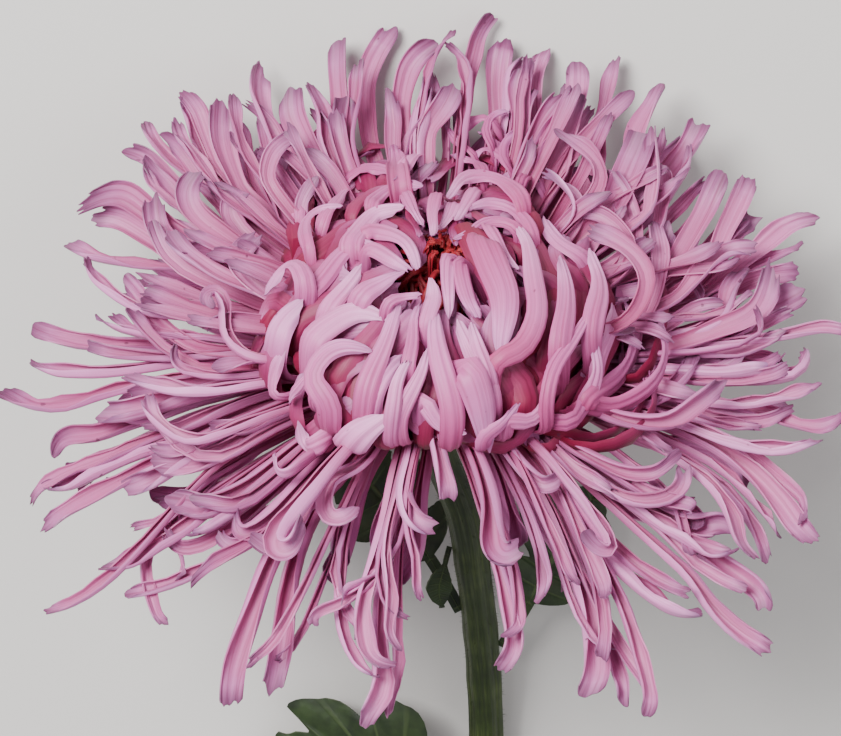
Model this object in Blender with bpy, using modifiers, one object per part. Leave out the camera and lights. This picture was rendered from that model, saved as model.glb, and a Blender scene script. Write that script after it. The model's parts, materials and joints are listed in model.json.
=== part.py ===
"""A spider chrysanthemum, cut with a short piece of its leafy stem and laid on a flat surface.

The head is built in flower coordinates: across to the right of the photograph, front towards its
lower edge, and height along the flower's own axis. Each ray floret that shows is drawn by a few
points read off the photograph by hand, tip first, and gets its depth from the whorl that it
belongs to. The whorls that the photograph doesn't show are placed by the golden angle.
"""

import math
import random

import bmesh
import bpy
import numpy as np
from mathutils.bvhtree import BVHTree

# The photograph, in pixels of its 841 x 736 frame
FRAME_CENTRE = (420.5, 368.0)
RECEPTACLE_PIXEL = (437.0, 368.0)

# The flower's own sizes, in metres
BLOOM_DIAMETER = 0.150
BLOOM_PIXELS = 840.0
PIXEL = BLOOM_DIAMETER / BLOOM_PIXELS
VIEWING_DISTANCE = 0.80
OUTER_REACH = 0.075
DOME_RADIUS = 0.034
DOME_HALF_HEIGHT = 0.017
DOME_CENTRE = 0.013
CORE_RADIUS = 0.0210
CORE_CENTRE = 0.0040
CORE_ABOVE = 0.0090
CORE_BELOW = 0.0083
RECEPTACLE_REACH = 0.0070
BLADE_THICKNESS = 0.0012
NARROWEST_BLADE = 0.0016
HEART_RADIUS = 0.0056
HEART_TOP = 0.0245
WELL_RADIUS = 0.0074
CUP_RADIUS = 0.0104
CUP_BOTTOM = -0.0125
STEM_RADIUS = 0.0034
LEAF_THICKNESS = 0.0009
STALK_HALF_WIDTH = 0.0011
GAP = 0.0004

# How the cut flower lies: its axis rises a little, and its lower whorls are pressed on the surface
SIGHT_TO_AXIS = math.radians(47.0)
AXIS_RISE = math.radians(25.0)
RECEPTACLE_AT = np.array((-0.0017, -0.0496, 0.0385))
RIGHT = np.array((-1.0, 0.0, 0.0))
AXIS = np.array((0.0, -math.cos(AXIS_RISE), math.sin(AXIS_RISE)))
FRONT = np.array((0.0, math.sin(AXIS_RISE), math.cos(AXIS_RISE)))
SIGHT = np.array((0.0, math.sin(SIGHT_TO_AXIS), math.cos(SIGHT_TO_AXIS)))

# Rays of the outer whorls: width in pixels, then points in the photograph from the tip inwards
BACK_RAYS = [
    (14, (190, 90), (203, 125), (212, 150), (235, 185)),
    (24, (222, 103), (222, 140), (235, 175), (255, 205)),
    (16, (234, 88), (236, 120), (247, 155), (270, 190), (295, 220)),
    (22, (252, 58), (255, 90), (268, 125), (285, 160), (305, 190)),
    (22, (293, 80), (292, 110), (300, 130), (318, 165)),
    (24, (341, 34), (340, 70), (345, 120), (352, 165)),
    (22, (395, 22), (377, 50), (366, 85), (368, 130), (376, 165)),
    (20, (425, 39), (410, 62), (402, 95), (404, 140)),
    (20, (458, 84), (450, 100), (435, 120), (425, 150)),
    (16, (480, 12), (477, 35), (470, 65), (466, 98), (458, 150)),
    (24, (506, 30), (500, 60), (498, 95), (500, 120), (492, 160)),
    (18, (522, 58), (520, 90), (520, 125), (510, 160)),
    (13, (545, 45), (541, 65), (536, 100), (531, 140)),
    (13, (568, 88), (560, 110), (545, 140), (533, 165)),
    (18, (582, 59), (578, 85), (572, 120), (566, 150), (556, 185)),
    (18, (614, 53), (611, 75), (606, 100), (598, 130), (600, 165), (580, 200)),
    (16, (641, 137), (655, 165), (650, 200), (635, 225)),
    (26, (640, 133), (632, 160), (622, 185), (600, 220)),
    (20, (670, 84), (652, 105), (638, 130), (622, 180), (590, 230)),
]
LEFT_RAYS = [
    (14, (166, 121), (185, 143), (203, 168), (225, 198), (245, 222)),
    (15, (139, 117), (152, 140), (175, 165), (205, 185), (235, 212)),
    (22, (126, 143), (148, 155), (172, 180), (205, 212), (240, 240)),
    (22, (87, 180), (120, 192), (150, 215), (190, 240)),
    (20, (89, 205), (120, 215), (165, 245), (195, 268)),
    (18, (60, 241), (90, 255), (120, 262), (160, 268), (200, 276)),
    (16, (118, 277), (135, 290), (150, 315), (180, 340), (215, 350)),
    (15, (31, 333), (60, 338), (90, 345), (150, 345), (220, 350)),
    (16, (28, 371), (65, 372), (110, 372), (160, 365), (220, 358)),
    (16, (4, 388), (25, 405), (60, 408), (105, 393), (150, 382), (240, 370)),
    (20, (95, 410), (115, 411), (150, 407), (230, 388)),
    (19, (41, 448), (62, 435), (90, 434), (140, 418), (240, 390)),
    (12, (23, 496), (45, 485), (70, 470), (95, 463), (200, 420)),
    (18, (42, 500), (80, 480), (130, 457), (180, 440), (260, 405)),
    (18, (33, 527), (60, 512), (85, 497), (180, 450), (270, 410)),
    (20, (118, 492), (140, 485), (230, 435)),
    (18, (148, 468), (175, 465), (205, 460), (280, 420)),
    (16, (140, 364), (158, 383), (200, 390), (250, 385)),
    (16, (143, 390), (152, 410), (170, 430), (200, 440), (270, 415)),
    (12, (43, 614), (75, 603), (110, 577), (150, 535), (190, 490), (240, 450)),
    (18, (95, 570), (125, 565), (150, 550), (190, 525), (270, 460)),
    (14, (122, 590), (150, 590), (200, 570), (250, 540), (300, 505), (350, 450)),
    (11, (163, 632), (152, 600), (146, 570), (155, 540), (230, 480)),
    (20, (162, 510), (185, 505), (215, 505), (255, 480), (320, 430)),
    (15, (160, 532), (175, 548), (205, 543), (240, 520), (320, 450)),
    (16, (218, 313), (205, 300), (215, 288), (225, 305), (225, 335), (245, 355), (275, 360)),
    (26, (262, 232), (240, 255), (245, 275), (280, 300)),
    (22, (198, 173), (185, 190), (195, 215), (230, 240)),
    (22, (146, 196), (152, 215), (165, 240), (210, 270)),
    (22, (172, 227), (180, 245), (200, 262), (240, 285)),
    (18, (297, 136), (278, 145), (268, 165), (280, 200)),
]
FRONT_RAYS = [
    (16, (232, 505), (240, 535), (265, 520), (310, 470)),
    (16, (264, 530), (272, 548), (290, 530), (330, 470)),
    (20, (313, 540), (290, 552), (275, 540), (310, 495), (345, 450)),
    (24, (227, 714), (232, 680), (242, 640), (258, 590), (280, 540), (340, 450)),
    (11, (242, 663), (270, 648), (300, 595), (325, 540), (345, 500), (375, 440)),
    (12, (316, 634), (314, 615), (340, 605), (375, 575), (393, 530), (395, 490)),
    (13, (375, 685), (350, 655), (338, 615), (343, 560), (350, 520), (375, 450)),
    (18, (388, 678), (368, 655), (362, 610), (375, 560), (385, 520), (400, 450)),
    (13, (383, 650), (390, 600), (385, 545), (405, 470)),
    (16, (357, 724), (372, 705), (382, 685), (378, 640), (385, 560), (410, 460)),
    (16, (362, 510), (345, 520), (325, 515), (330, 480), (365, 460)),
    (18, (438, 530), (415, 520), (403, 495), (410, 460), (415, 430)),
    (18, (447, 512), (447, 485), (440, 455), (435, 430)),
    (22, (530, 548), (500, 555), (490, 500), (475, 455), (455, 420)),
    (16, (503, 672), (513, 645), (508, 610), (500, 570), (487, 520), (470, 470), (450, 420)),
    (18, (565, 470), (540, 485), (500, 440), (470, 410)),
    (18, (592, 703), (598, 660), (590, 620), (570, 560), (545, 500), (500, 430)),
    (14, (548, 603), (545, 570), (530, 520), (495, 450)),
    (15, (643, 719), (652, 700), (638, 650), (620, 600), (590, 540), (565, 490), (510, 430)),
    (10, (650, 690), (625, 655), (608, 625), (575, 560), (520, 470)),
    (18, (702, 620), (680, 615), (650, 595), (610, 560), (570, 510), (520, 440)),
    (16, (583, 535), (598, 550), (615, 550), (590, 510), (540, 450)),
]
RIGHT_RAYS = [
    (18, (705, 122), (692, 140), (675, 165), (655, 190), (610, 240)),
    (22, (726, 177), (708, 205), (690, 235), (670, 265), (630, 300)),
    (14, (705, 172), (690, 195), (670, 215), (630, 260)),
    (16, (752, 174), (745, 195), (728, 225), (710, 260), (660, 300)),
    (18, (757, 210), (745, 220), (725, 235), (670, 280)),
    (16, (805, 207), (785, 228), (760, 250), (740, 265), (670, 310)),
    (18, (806, 250), (785, 255), (755, 265), (680, 310)),
    (26, (808, 290), (790, 300), (765, 310), (690, 335)),
    (18, (758, 257), (735, 250), (710, 262), (690, 285), (650, 310)),
    (26, (779, 262), (770, 290), (755, 315), (720, 330), (650, 350)),
    (12, (785, 304), (765, 325), (730, 330), (690, 335), (620, 350)),
    (12, (850, 328), (812, 327), (780, 335), (700, 345), (620, 355)),
    (13, (805, 340), (808, 360), (795, 375), (740, 380), (640, 375)),
    (18, (776, 368), (730, 372), (680, 370), (640, 368), (570, 365)),
    (20, (727, 379), (705, 400), (670, 422), (630, 420), (590, 405), (530, 385)),
    (14, (824, 386), (790, 395), (740, 405), (690, 400), (600, 385)),
    (16, (850, 430), (800, 425), (760, 410), (720, 405), (620, 385)),
    (18, (822, 432), (790, 450), (740, 445), (690, 425), (640, 410), (560, 385)),
    (18, (805, 550), (795, 525), (770, 490), (730, 455), (680, 430), (590, 400)),
    (13, (816, 516), (795, 490), (765, 465), (740, 445), (620, 400)),
    (14, (742, 562), (735, 520), (712, 485), (670, 455), (630, 430), (540, 400)),
    (16, (673, 453), (655, 472), (620, 470), (570, 445), (530, 415), (490, 395)),
    (16, (683, 458), (682, 485), (655, 500), (610, 490), (520, 420)),
    (16, (622, 483), (590, 478), (560, 455), (530, 430), (490, 400)),
    (18, (727, 538), (722, 525), (690, 525), (650, 505), (600, 475), (510, 415)),
    (16, (742, 562), (715, 555), (680, 535), (640, 510), (540, 440)),
    (16, (765, 615), (765, 595), (740, 575), (700, 550), (650, 515), (540, 430)),
    (14, (773, 652), (745, 635), (715, 610), (690, 575), (650, 540), (560, 460)),
    (16, (653, 217), (660, 255), (652, 298), (620, 330)),
    (24, (613, 170), (625, 200), (635, 235), (610, 280)),
    (18, (583, 233), (610, 238), (637, 258), (645, 290), (610, 330)),
    (16, (573, 218), (600, 212), (622, 230), (632, 255), (600, 290)),
    (22, (541, 173), (565, 185), (578, 210), (560, 240)),
    (16, (553, 135), (580, 145), (600, 170), (585, 205)),
]
# Incurved rays of the middle, whose tips lean over it: width in pixels, then points from the tip down
INCURVED_RAYS = [
    (22, (655, 317), (664, 350), (650, 385), (610, 405), (580, 400)),
    (18, (613, 293), (612, 330), (600, 365)),
    (20, (632, 298), (638, 335), (622, 375), (590, 400)),
    (14, (590, 303), (575, 335), (555, 370), (548, 400)),
    (18, (588, 340), (597, 370), (580, 405), (555, 420)),
    (16, (553, 362), (550, 400), (530, 422), (505, 418)),
    (22, (560, 255), (565, 300), (560, 345)),
    (22, (590, 250), (600, 290), (590, 330)),
    (22, (548, 214), (560, 240), (590, 265)),
    (20, (517, 217), (532, 265), (541, 315), (525, 350), (495, 363)),
    (28, (496, 356), (503, 300), (490, 262), (480, 235)),
    (12, (512, 268), (505, 245), (490, 222)),
    (16, (457, 315), (450, 285), (455, 255)),
    (15, (467, 213), (490, 204), (515, 212), (535, 240)),
    (12, (457, 240), (490, 222), (520, 235)),
    (18, (447, 195), (470, 175), (500, 180), (525, 205)),
    (15, (497, 180), (520, 170), (541, 185)),
    (22, (442, 306), (437, 345), (450, 415)),
    (22, (455, 315), (470, 350), (490, 400)),
    (18, (470, 318), (480, 345), (492, 380)),
    (30, (490, 456), (480, 400), (465, 365)),
    (18, (468, 437), (440, 430), (420, 400)),
    (22, (403, 303), (388, 340), (368, 375), (362, 398)),
    (14, (417, 300), (415, 335), (405, 372)),
    (24, (400, 348), (382, 370), (368, 402)),
    (16, (432, 345), (422, 380), (408, 405), (400, 420)),
    (27, (388, 318), (355, 310), (318, 330), (308, 345)),
    (22, (370, 340), (335, 350), (313, 378), (328, 402)),
    (32, (388, 412), (365, 432), (350, 450)),
    (32, (308, 300), (285, 318), (276, 340)),
    (20, (272, 300), (290, 268), (308, 285)),
    (16, (288, 342), (272, 378), (285, 400)),
    (20, (383, 248), (360, 242), (340, 255), (318, 285), (305, 300)),
    (22, (364, 265), (345, 285), (325, 318)),
    (22, (404, 270), (380, 285), (358, 305)),
    (18, (416, 266), (402, 242), (378, 230), (360, 235)),
    (22, (403, 213), (375, 213), (355, 235), (350, 250)),
    (15, (422, 190), (400, 186), (378, 197), (370, 210)),
    (12, (436, 240), (432, 215), (437, 197)),
    (15, (442, 228), (448, 212), (455, 200)),
    (14, (363, 178), (345, 190), (330, 205), (318, 225)),
    (14, (332, 170), (310, 175), (298, 200), (298, 215)),
    (14, (340, 203), (315, 208), (302, 225), (305, 250)),
    (15, (398, 183), (380, 172), (362, 170), (345, 185)),
    (18, (440, 163), (420, 158), (403, 172)),
    (22, (397, 143), (395, 160), (400, 185)),
    (20, (318, 142), (318, 165), (320, 190)),
]

# The stem and the leaves: points in the photograph, each with its height above the surface, head first
STEM_ROUTE = [
    (462, 505, 0.0262),
    (472, 560, 0.0204),
    (479, 610, 0.0152),
    (485, 680, 0.0088),
    (487, 750, 0.0052),
    (486, 830, 0.0038),
    (482, 930, 0.0035),
    (474, 1060, 0.0035),
]
STEM_RIBS = 7
STEM_GROOVE = 0.90
# Each leaf: half its width, how far its edges lift, and its midrib from the stem to the tip
LEAVES = {
    "leaf_left": (
        0.0105,
        0.0015,
        (455, 602, 0.0155),
        (434, 565, 0.0150),
        (408, 528, 0.0115),
        (370, 484, 0.0070),
        (336, 446, 0.0035),
    ),
    "leaf_right": (
        0.0105,
        0.0015,
        (507, 639, 0.0125),
        (528, 604, 0.0135),
        (546, 570, 0.0120),
        (574, 524, 0.0080),
        (600, 486, 0.0040),
    ),
    "leaf_small": (
        0.0024,
        0.0004,
        (447, 557, 0.0222),
        (443, 572, 0.0230),
        (439, 590, 0.0225),
        (442, 608, 0.0210),
    ),
    "leaf_low": (
        0.0125,
        -0.0015,
        (464, 790, 0.0055),
        (434, 762, 0.0095),
        (390, 745, 0.0105),
        (335, 752, 0.0070),
        (268, 790, 0.0020),
    ),
}
# Rows of a leaf: where it leaves the midrib, how far along it meets the edge, share of the half width
LEAF_ROWS = (
    (0.00, 0.00, 0.0),
    (0.16, 0.16, 0.0),
    (0.30, 0.29, 0.0),
    (0.34, 0.32, 0.30),
    (0.37, 0.38, 0.62),
    (0.40, 0.43, 0.70),
    (0.43, 0.49, 0.76),
    (0.46, 0.48, 0.56),
    (0.49, 0.50, 0.36),
    (0.52, 0.55, 0.62),
    (0.55, 0.60, 0.84),
    (0.58, 0.66, 0.92),
    (0.61, 0.72, 1.00),
    (0.64, 0.71, 0.72),
    (0.67, 0.70, 0.44),
    (0.71, 0.75, 0.52),
    (0.76, 0.80, 0.66),
    (0.81, 0.86, 0.60),
    (0.86, 0.90, 0.38),
    (0.92, 0.95, 0.24),
)
SMALL_LEAF_ROWS = (
    (0.00, 0.00, 0.0),
    (0.20, 0.20, 0.0),
    (0.42, 0.45, 0.75),
    (0.60, 0.65, 1.00),
    (0.80, 0.85, 0.62),
)

# The young florets and the bracts
HEART_FLORETS = 18
HEART_WIDTHS = ((0.0, 1.0, 0.8), (0.6, 0.8, 0.7), (1.0, 0.5, 0.6))
BRACTS_A_ROW = 11
BRACT_WIDTH = 0.0048
BRACT_WIDTHS = ((0.0, 0.7, 0.7), (0.45, 1.0, 0.9), (0.8, 0.7, 0.7), (1.0, 0.3, 0.6))
# Distance from the axis and height along it, from a bract's foot to its tip
BRACT_ROWS = (
    ((0.0068, -0.0088), (0.0094, -0.0066), (0.0108, -0.0050), (0.0118, -0.0040)),
    ((0.0040, -0.0112), (0.0074, -0.0096), (0.0096, -0.0074), (0.0106, -0.0056)),
)

# The whorls that the photograph doesn't show
HIDDEN_RAYS = 28
HIDDEN_WIDTH = 0.0036
GOLDEN_ANGLE = math.pi * (3.0 - math.sqrt(5.0))
FLOOR_LEVELS = (0.0, 0.0003, 0.0, 0.0006)
STEPS_A_SPAN = 12
SOLVER = "MANIFOLD"
SHORTEST_SPAN = 0.0042


def clear_scene():
    for item in list(bpy.data.objects):
        bpy.data.objects.remove(item, do_unlink=True)


def new_collection(name):
    group = bpy.data.collections.new(name)
    bpy.context.scene.collection.children.link(group)
    return group


def new_material(name, colour, roughness):
    material = bpy.data.materials.new(name)
    material.use_nodes = True
    shader = material.node_tree.nodes["Principled BSDF"]
    shader.inputs["Base Color"].default_value = (*colour, 1.0)
    shader.inputs["Roughness"].default_value = roughness
    return material


def to_world(point):
    """Flower coordinates (across, front, height) to the world."""
    return RECEPTACLE_AT + point[0] * RIGHT + point[1] * FRONT + point[2] * AXIS


def on_sight_line(pixel, towards):
    """The point seen at a pixel, this far towards the viewer from the receptacle."""
    shrink = 1.0 - towards / VIEWING_DISTANCE
    across = (pixel[0] - FRAME_CENTRE[0]) * PIXEL * shrink
    across += (FRAME_CENTRE[0] - RECEPTACLE_PIXEL[0]) * PIXEL
    up = (FRAME_CENTRE[1] - pixel[1]) * PIXEL * shrink
    front = towards * math.sin(SIGHT_TO_AXIS) - up * math.cos(SIGHT_TO_AXIS)
    height = towards * math.cos(SIGHT_TO_AXIS) + up * math.sin(SIGHT_TO_AXIS)
    return np.array((across, front, height))


def whorl_height(point, lift):
    """How high the outer whorls stand where this point is: they rise at the back and droop in front."""
    reach = math.hypot(point[0], point[1])
    back = -point[1] / max(reach, 1e-6)
    slope = 0.12 + 0.455 * back - 0.065 * back * back
    share = max(0.0, (reach - 0.008) / (OUTER_REACH - 0.008))
    bend = share ** (1.3 if slope < 0.0 else 1.0)
    return 0.0015 + slope * OUTER_REACH * bend + lift * min(1.0, reach / 0.030)


def on_whorl(pixel, lift):
    """The point seen at a pixel on the surface of the outer whorls."""
    near = 0.09
    far = -0.09
    for _ in range(30):
        middle = 0.5 * (near + far)
        point = on_sight_line(pixel, middle)
        if point[2] > whorl_height(point, lift):
            near = middle
        else:
            far = middle
    return point


def dome_level(point, lift):
    """Under 1 inside the dome of incurved rays, over 1 outside it."""
    reach = math.hypot(point[0], point[1]) / (DOME_RADIUS + lift)
    height = (point[2] - DOME_CENTRE) / (DOME_HALF_HEIGHT + lift)
    return reach * reach + height * height


def on_dome(pixel, lift):
    """The point seen at a pixel on the near side of the dome, or beside it where the dome is missed."""
    steps = np.linspace(0.055, -0.045, 101)
    levels = [dome_level(on_sight_line(pixel, towards), lift) for towards in steps]
    for step, level in zip(steps, levels):
        if level <= 1.0:
            return on_sight_line(pixel, step)
    return on_sight_line(pixel, steps[int(np.argmin(levels))])


def floor_height(point):
    return to_world(point)[2]


def pressed(point, level):
    """Moves a point along the line of sight until it is no lower than the surface that the flower lies on."""
    short = level - floor_height(point)
    if short <= 0.0:
        return point
    rise = (SIGHT[1] * FRONT + SIGHT[2] * AXIS)[2]
    return point + SIGHT * short / rise


def polar(reach, bearing, height):
    """A point by its distance from the axis and its bearing from the right towards the front."""
    return np.array((reach * math.cos(bearing), reach * math.sin(bearing), height))


def bearing_of(point):
    return math.atan2(point[1], point[0])


def outer_lift(pixel):
    """The shorter a ray is, the higher its whorl."""
    tip = on_whorl(pixel, 0.0)
    reach = math.hypot(tip[0], tip[1])
    share = min(1.0, max(0.0, (reach - 0.034) / (OUTER_REACH - 0.034)))
    return 0.013 * (1.0 - share * share * (3.0 - 2.0 * share))


def outer_line(pixels, draw):
    """The centre line of a ray of the outer whorls, root first."""
    lift = outer_lift(pixels[0]) + draw.uniform(-0.0045, 0.0035)
    shown = [on_whorl(pixel, lift) for pixel in pixels]
    root = polar(RECEPTACLE_REACH, bearing_of(shown[-1]), 0.0020 + 0.2 * lift)
    return [root] + shown[::-1]


def incurved_line(pixels, draw):
    """The centre line of an incurved ray: out from the receptacle, round its belly and over the middle."""
    lift = draw.uniform(-0.0012, 0.0012)
    shown = [on_dome(pixel, lift) for pixel in pixels]
    belly = shown[-1]
    reach = math.hypot(belly[0], belly[1])
    bearing = bearing_of(belly)
    line = [polar(RECEPTACLE_REACH, bearing, 0.0050)]
    if reach < 0.016:
        line.append(polar(0.0125, bearing, 0.0160))
    elif belly[2] > 0.012:
        line.append(polar(0.62 * reach, bearing, 0.0060))
        line.append(polar(0.97 * reach, bearing, 0.0100))
    return line + shown[::-1]


def hidden_line(index, draw):
    """The centre line of a ray of the lowest whorls, under those that show."""
    bearing = index * GOLDEN_ANGLE + draw.uniform(-0.08, 0.08)
    front = math.sin(bearing)
    reach = 0.060 + draw.uniform(-0.004, 0.004) - 0.024 * max(0.0, front) ** 2
    drop = draw.uniform(0.003, 0.013)
    line = [polar(RECEPTACLE_REACH, bearing, 0.0010)]
    for share in (0.38, 0.62, 0.82, 1.0):
        point = polar(share * reach, bearing + 0.10 * share * draw.uniform(-1, 1), 0.0)
        point[2] = whorl_height(point, -drop * share)
        if front < 0.0:
            point[2] -= 0.018 * share * front * front
        line.append(point)
    return line


def smooth_line(line):
    """Points on a smooth curve through the line's points, STEPS_A_SPAN for each span."""
    points = np.array([line[0] * 2 - line[1], *line, line[-1] * 2 - line[-2]])
    fine = []
    for i in range(1, len(points) - 2):
        before, here, there, after = points[i - 1 : i + 3]
        for t in np.linspace(0.0, 1.0, STEPS_A_SPAN, endpoint=False):
            bend = 2 * before - 5 * here + 4 * there - after
            swing = 3 * here - before - 3 * there + after
            fine.append(here + 0.5 * ((there - before) * t + bend * t * t + swing * t ** 3))
    fine.append(points[-2])
    return np.array(fine)


def core_level(point):
    """Under 1 inside the core that the rays stand out of."""
    height = (point[2] - CORE_CENTRE) / (CORE_ABOVE if point[2] > CORE_CENTRE else CORE_BELOW)
    reach = math.hypot(point[0], point[1]) / CORE_RADIUS
    return reach * reach + height * height


def whorl_face(point):
    """Where the inner face of an outer ray looks: out of its whorl, and a little to the viewer."""
    reach = max(math.hypot(point[0], point[1]), 1e-6)
    slope = 0.12 - 0.455 * point[1] / reach
    face = np.array((-slope * point[0] / reach, -slope * point[1] / reach, 1.0)) + 0.35 * SIGHT
    return face / np.linalg.norm(face)


def dome_face(point):
    """Where the inner face of an incurved ray looks: into the dome."""
    away = np.array((point[0], point[1], 0.0)) / DOME_RADIUS**2
    away[2] = (point[2] - DOME_CENTRE) / DOME_HALF_HEIGHT**2
    face = -away / max(np.linalg.norm(away), 1e-9) - 0.6 * SIGHT
    return face / np.linalg.norm(face)


def bract_face(point):
    """Where the inner face of a bract looks: towards the axis, and a little up."""
    return np.array((-point[0], -point[1], 0.4 * math.hypot(point[0], point[1])))


def level_face(direction):
    """A face direction that stays the same all along a blade."""
    return lambda point: direction


def stations(line):
    """Where a ray gets a section: inside the core, then at each point that it was drawn by."""
    fine = smooth_line(line)
    start = 0
    for index, point in enumerate(fine):
        if core_level(point) < 0.70:
            start = index
    found = [start]
    for index in range(0, len(fine) - 1, STEPS_A_SPAN):
        far_enough = np.linalg.norm(fine[index] - fine[found[-1]]) > SHORTEST_SPAN
        if index > start and far_enough:
            found.append(index)
    if np.linalg.norm(fine[-1] - fine[found[-1]]) < SHORTEST_SPAN and len(found) > 2:
        found.pop()
    return fine, found + [len(fine) - 1]


# Share of the length, share of the blade's width and share of its thickness, root to tip
OUTER_WIDTHS = ((0.0, 0.62, 1.7), (0.45, 0.68, 1.5), (0.75, 0.95, 1.1), (0.92, 1.0, 1.0), (1.0, 0.6, 1.0))
INCURVED_WIDTHS = ((0.0, 0.6, 1.6), (0.35, 0.85, 1.3), (0.60, 1.0, 1.1), (0.85, 0.95, 1.0), (1.0, 0.6, 1.0))


def face_outwards(mesh):
    """Turns the faces of a closed mesh outwards."""
    bmesh.ops.recalc_face_normals(mesh, faces=mesh.faces)
    if mesh.calc_volume(signed=True) < 0.0:
        bmesh.ops.reverse_faces(mesh, faces=mesh.faces)


def crosses_itself(mesh):
    """Whether two faces that share no corner cut each other."""
    mesh.faces.ensure_lookup_table()
    tree = BVHTree.FromBMesh(mesh)
    for first, second in tree.overlap(tree):
        corners = set(mesh.faces[first].verts)
        if first < second and corners.isdisjoint(mesh.faces[second].verts):
            return True
    return False


def blade_mesh(fine, places, width, widths, face_of, floor_level):
    """A blade with a lens for its section, split into triangles alike on both faces, ending in a point."""
    length = np.concatenate([[0.0], np.cumsum(np.linalg.norm(np.diff(fine, axis=0), axis=1))])
    shares, wide, thick = zip(*widths)
    mesh = bmesh.new()
    rings = []
    side = np.zeros(3)
    for place in places[:-1]:
        share = length[place] / length[-1]
        before = side
        half_width = 0.5 * max(width * np.interp(share, shares, wide), NARROWEST_BLADE)
        half_thickness = 0.5 * BLADE_THICKNESS * np.interp(share, shares, thick)
        tangent = fine[min(place + 3, len(fine) - 1)] - fine[max(place - 3, 0)]
        side = np.cross(tangent, face_of(fine[place]))
        side /= np.linalg.norm(side) if np.dot(side, before) >= 0.0 else -np.linalg.norm(side)
        upper = np.cross(side, tangent)
        upper /= np.linalg.norm(upper)
        ring = []
        over = side * half_width
        up = upper * half_thickness
        for corner in (over, up, -over, -up):
            at = to_world(fine[place] + corner)
            at[2] = max(at[2], floor_level)
            ring.append(mesh.verts.new(at))
        rings.append(ring)
    end = to_world(fine[-1])
    end[2] = max(end[2], floor_level)
    tip = mesh.verts.new(end)
    for ring, following in zip(rings, rings[1:]):
        for edge, ridge in ((0, 1), (2, 1), (2, 3), (0, 3)):
            mesh.faces.new((ring[edge], ring[ridge], following[ridge]))
            mesh.faces.new((ring[edge], following[ridge], following[edge]))
    for corner in range(4):
        mesh.faces.new((rings[-1][corner], rings[-1][(corner + 1) % 4], tip))
    mesh.faces.new((rings[0][0], rings[0][1], rings[0][3]))
    mesh.faces.new((rings[0][1], rings[0][2], rings[0][3]))
    face_outwards(mesh)
    return mesh


def sharpest_turn(fine, places):
    """Which of the inner stations the centre line turns most sharply at."""
    turns = []
    for before, here, after in zip(places, places[1:], places[2:]):
        arriving = fine[here] - fine[before]
        leaving = fine[after] - fine[here]
        turns.append(np.dot(arriving, leaving) / (np.linalg.norm(arriving) * np.linalg.norm(leaving)))
    return 1 + int(np.argmin(turns))


def blade(name, group, fine, places, width, widths, face_of, floor_level):
    """A blade that doesn't cross itself: a tight curl loses its sharpest stations, and then its twist."""
    fine = np.array([pressed(point, floor_level) for point in fine])
    mesh = blade_mesh(fine, places, width, widths, face_of, floor_level)
    twisted = True
    while crosses_itself(mesh) and len(places) > 3:
        mesh.free()
        if len(places) == 4 and twisted:
            face_of = level_face(face_of(fine[places[1]]))
            twisted = False
        else:
            del places[sharpest_turn(fine, places)]
        mesh = blade_mesh(fine, places, width, widths, face_of, floor_level)
    return new_object(name, mesh, group)


def new_object(name, mesh, group):
    """The object made of a bmesh, which is freed."""
    data = bpy.data.meshes.new(name)
    mesh.to_mesh(data)
    mesh.free()
    made = bpy.data.objects.new(name, data)
    group.objects.link(made)
    return made


def round_lump(name, group, radius, above, below, centre, sides, rows):
    """A round lump about the flower's axis, with its own height above and below its widest place."""
    mesh = bmesh.new()
    bmesh.ops.create_uvsphere(mesh, u_segments=sides, v_segments=rows, radius=1.0)
    for vertex in mesh.verts:
        rise = vertex.co.z * (above if vertex.co.z > 0.0 else below)
        point = np.array((vertex.co.x * radius, vertex.co.y * radius, centre + rise))
        vertex.co = to_world(point)
    face_outwards(mesh)
    return new_object(name, mesh, group)


def keep_result(item):
    """Makes the object's modifiers part of its mesh."""
    bpy.context.view_layer.update()
    graph = bpy.context.evaluated_depsgraph_get()
    data = bpy.data.meshes.new_from_object(item.evaluated_get(graph))
    item.modifiers.clear()
    item.data = data


def fuse(target, group):
    """Joins every solid of a collection to the target, and removes the collection and its solids."""
    union = target.modifiers.new("union", "BOOLEAN")
    union.operation = "UNION"
    union.solver = SOLVER
    union.operand_type = "COLLECTION"
    union.collection = group
    keep_result(target)
    for item in list(group.objects):
        bpy.data.objects.remove(item, do_unlink=True)
    bpy.data.collections.remove(group)


def cut(target, cutter):
    """Cuts one solid out of the target."""
    difference = target.modifiers.new("difference", "BOOLEAN")
    difference.operation = "DIFFERENCE"
    difference.solver = SOLVER
    difference.object = cutter
    keep_result(target)


def keep_largest_body(item):
    """Drops the loose scraps that a cut leaves, and the skins of hollows that a union seals."""
    mesh = bmesh.new()
    mesh.from_mesh(item.data)
    bmesh.ops.triangulate(mesh, faces=mesh.faces)
    seen = set()
    bodies = []
    for start in mesh.faces:
        if start in seen:
            continue
        seen.add(start)
        body = [start]
        for face in body:
            for edge in face.edges:
                for other in edge.link_faces:
                    if other not in seen:
                        seen.add(other)
                        body.append(other)
        bodies.append(body)
    bodies.sort(key=len)
    for body in bodies[:-1]:
        bmesh.ops.delete(mesh, geom=body, context="FACES")
    mesh.to_mesh(item.data)
    mesh.free()


def finish(item, material):
    """One material on a finished sub-part, with its round faces shaded smooth."""
    item.data.materials.clear()
    item.data.materials.append(material)
    item.data.shade_smooth()
    item.data.set_sharp_from_angle(angle=math.radians(40.0))


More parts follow.
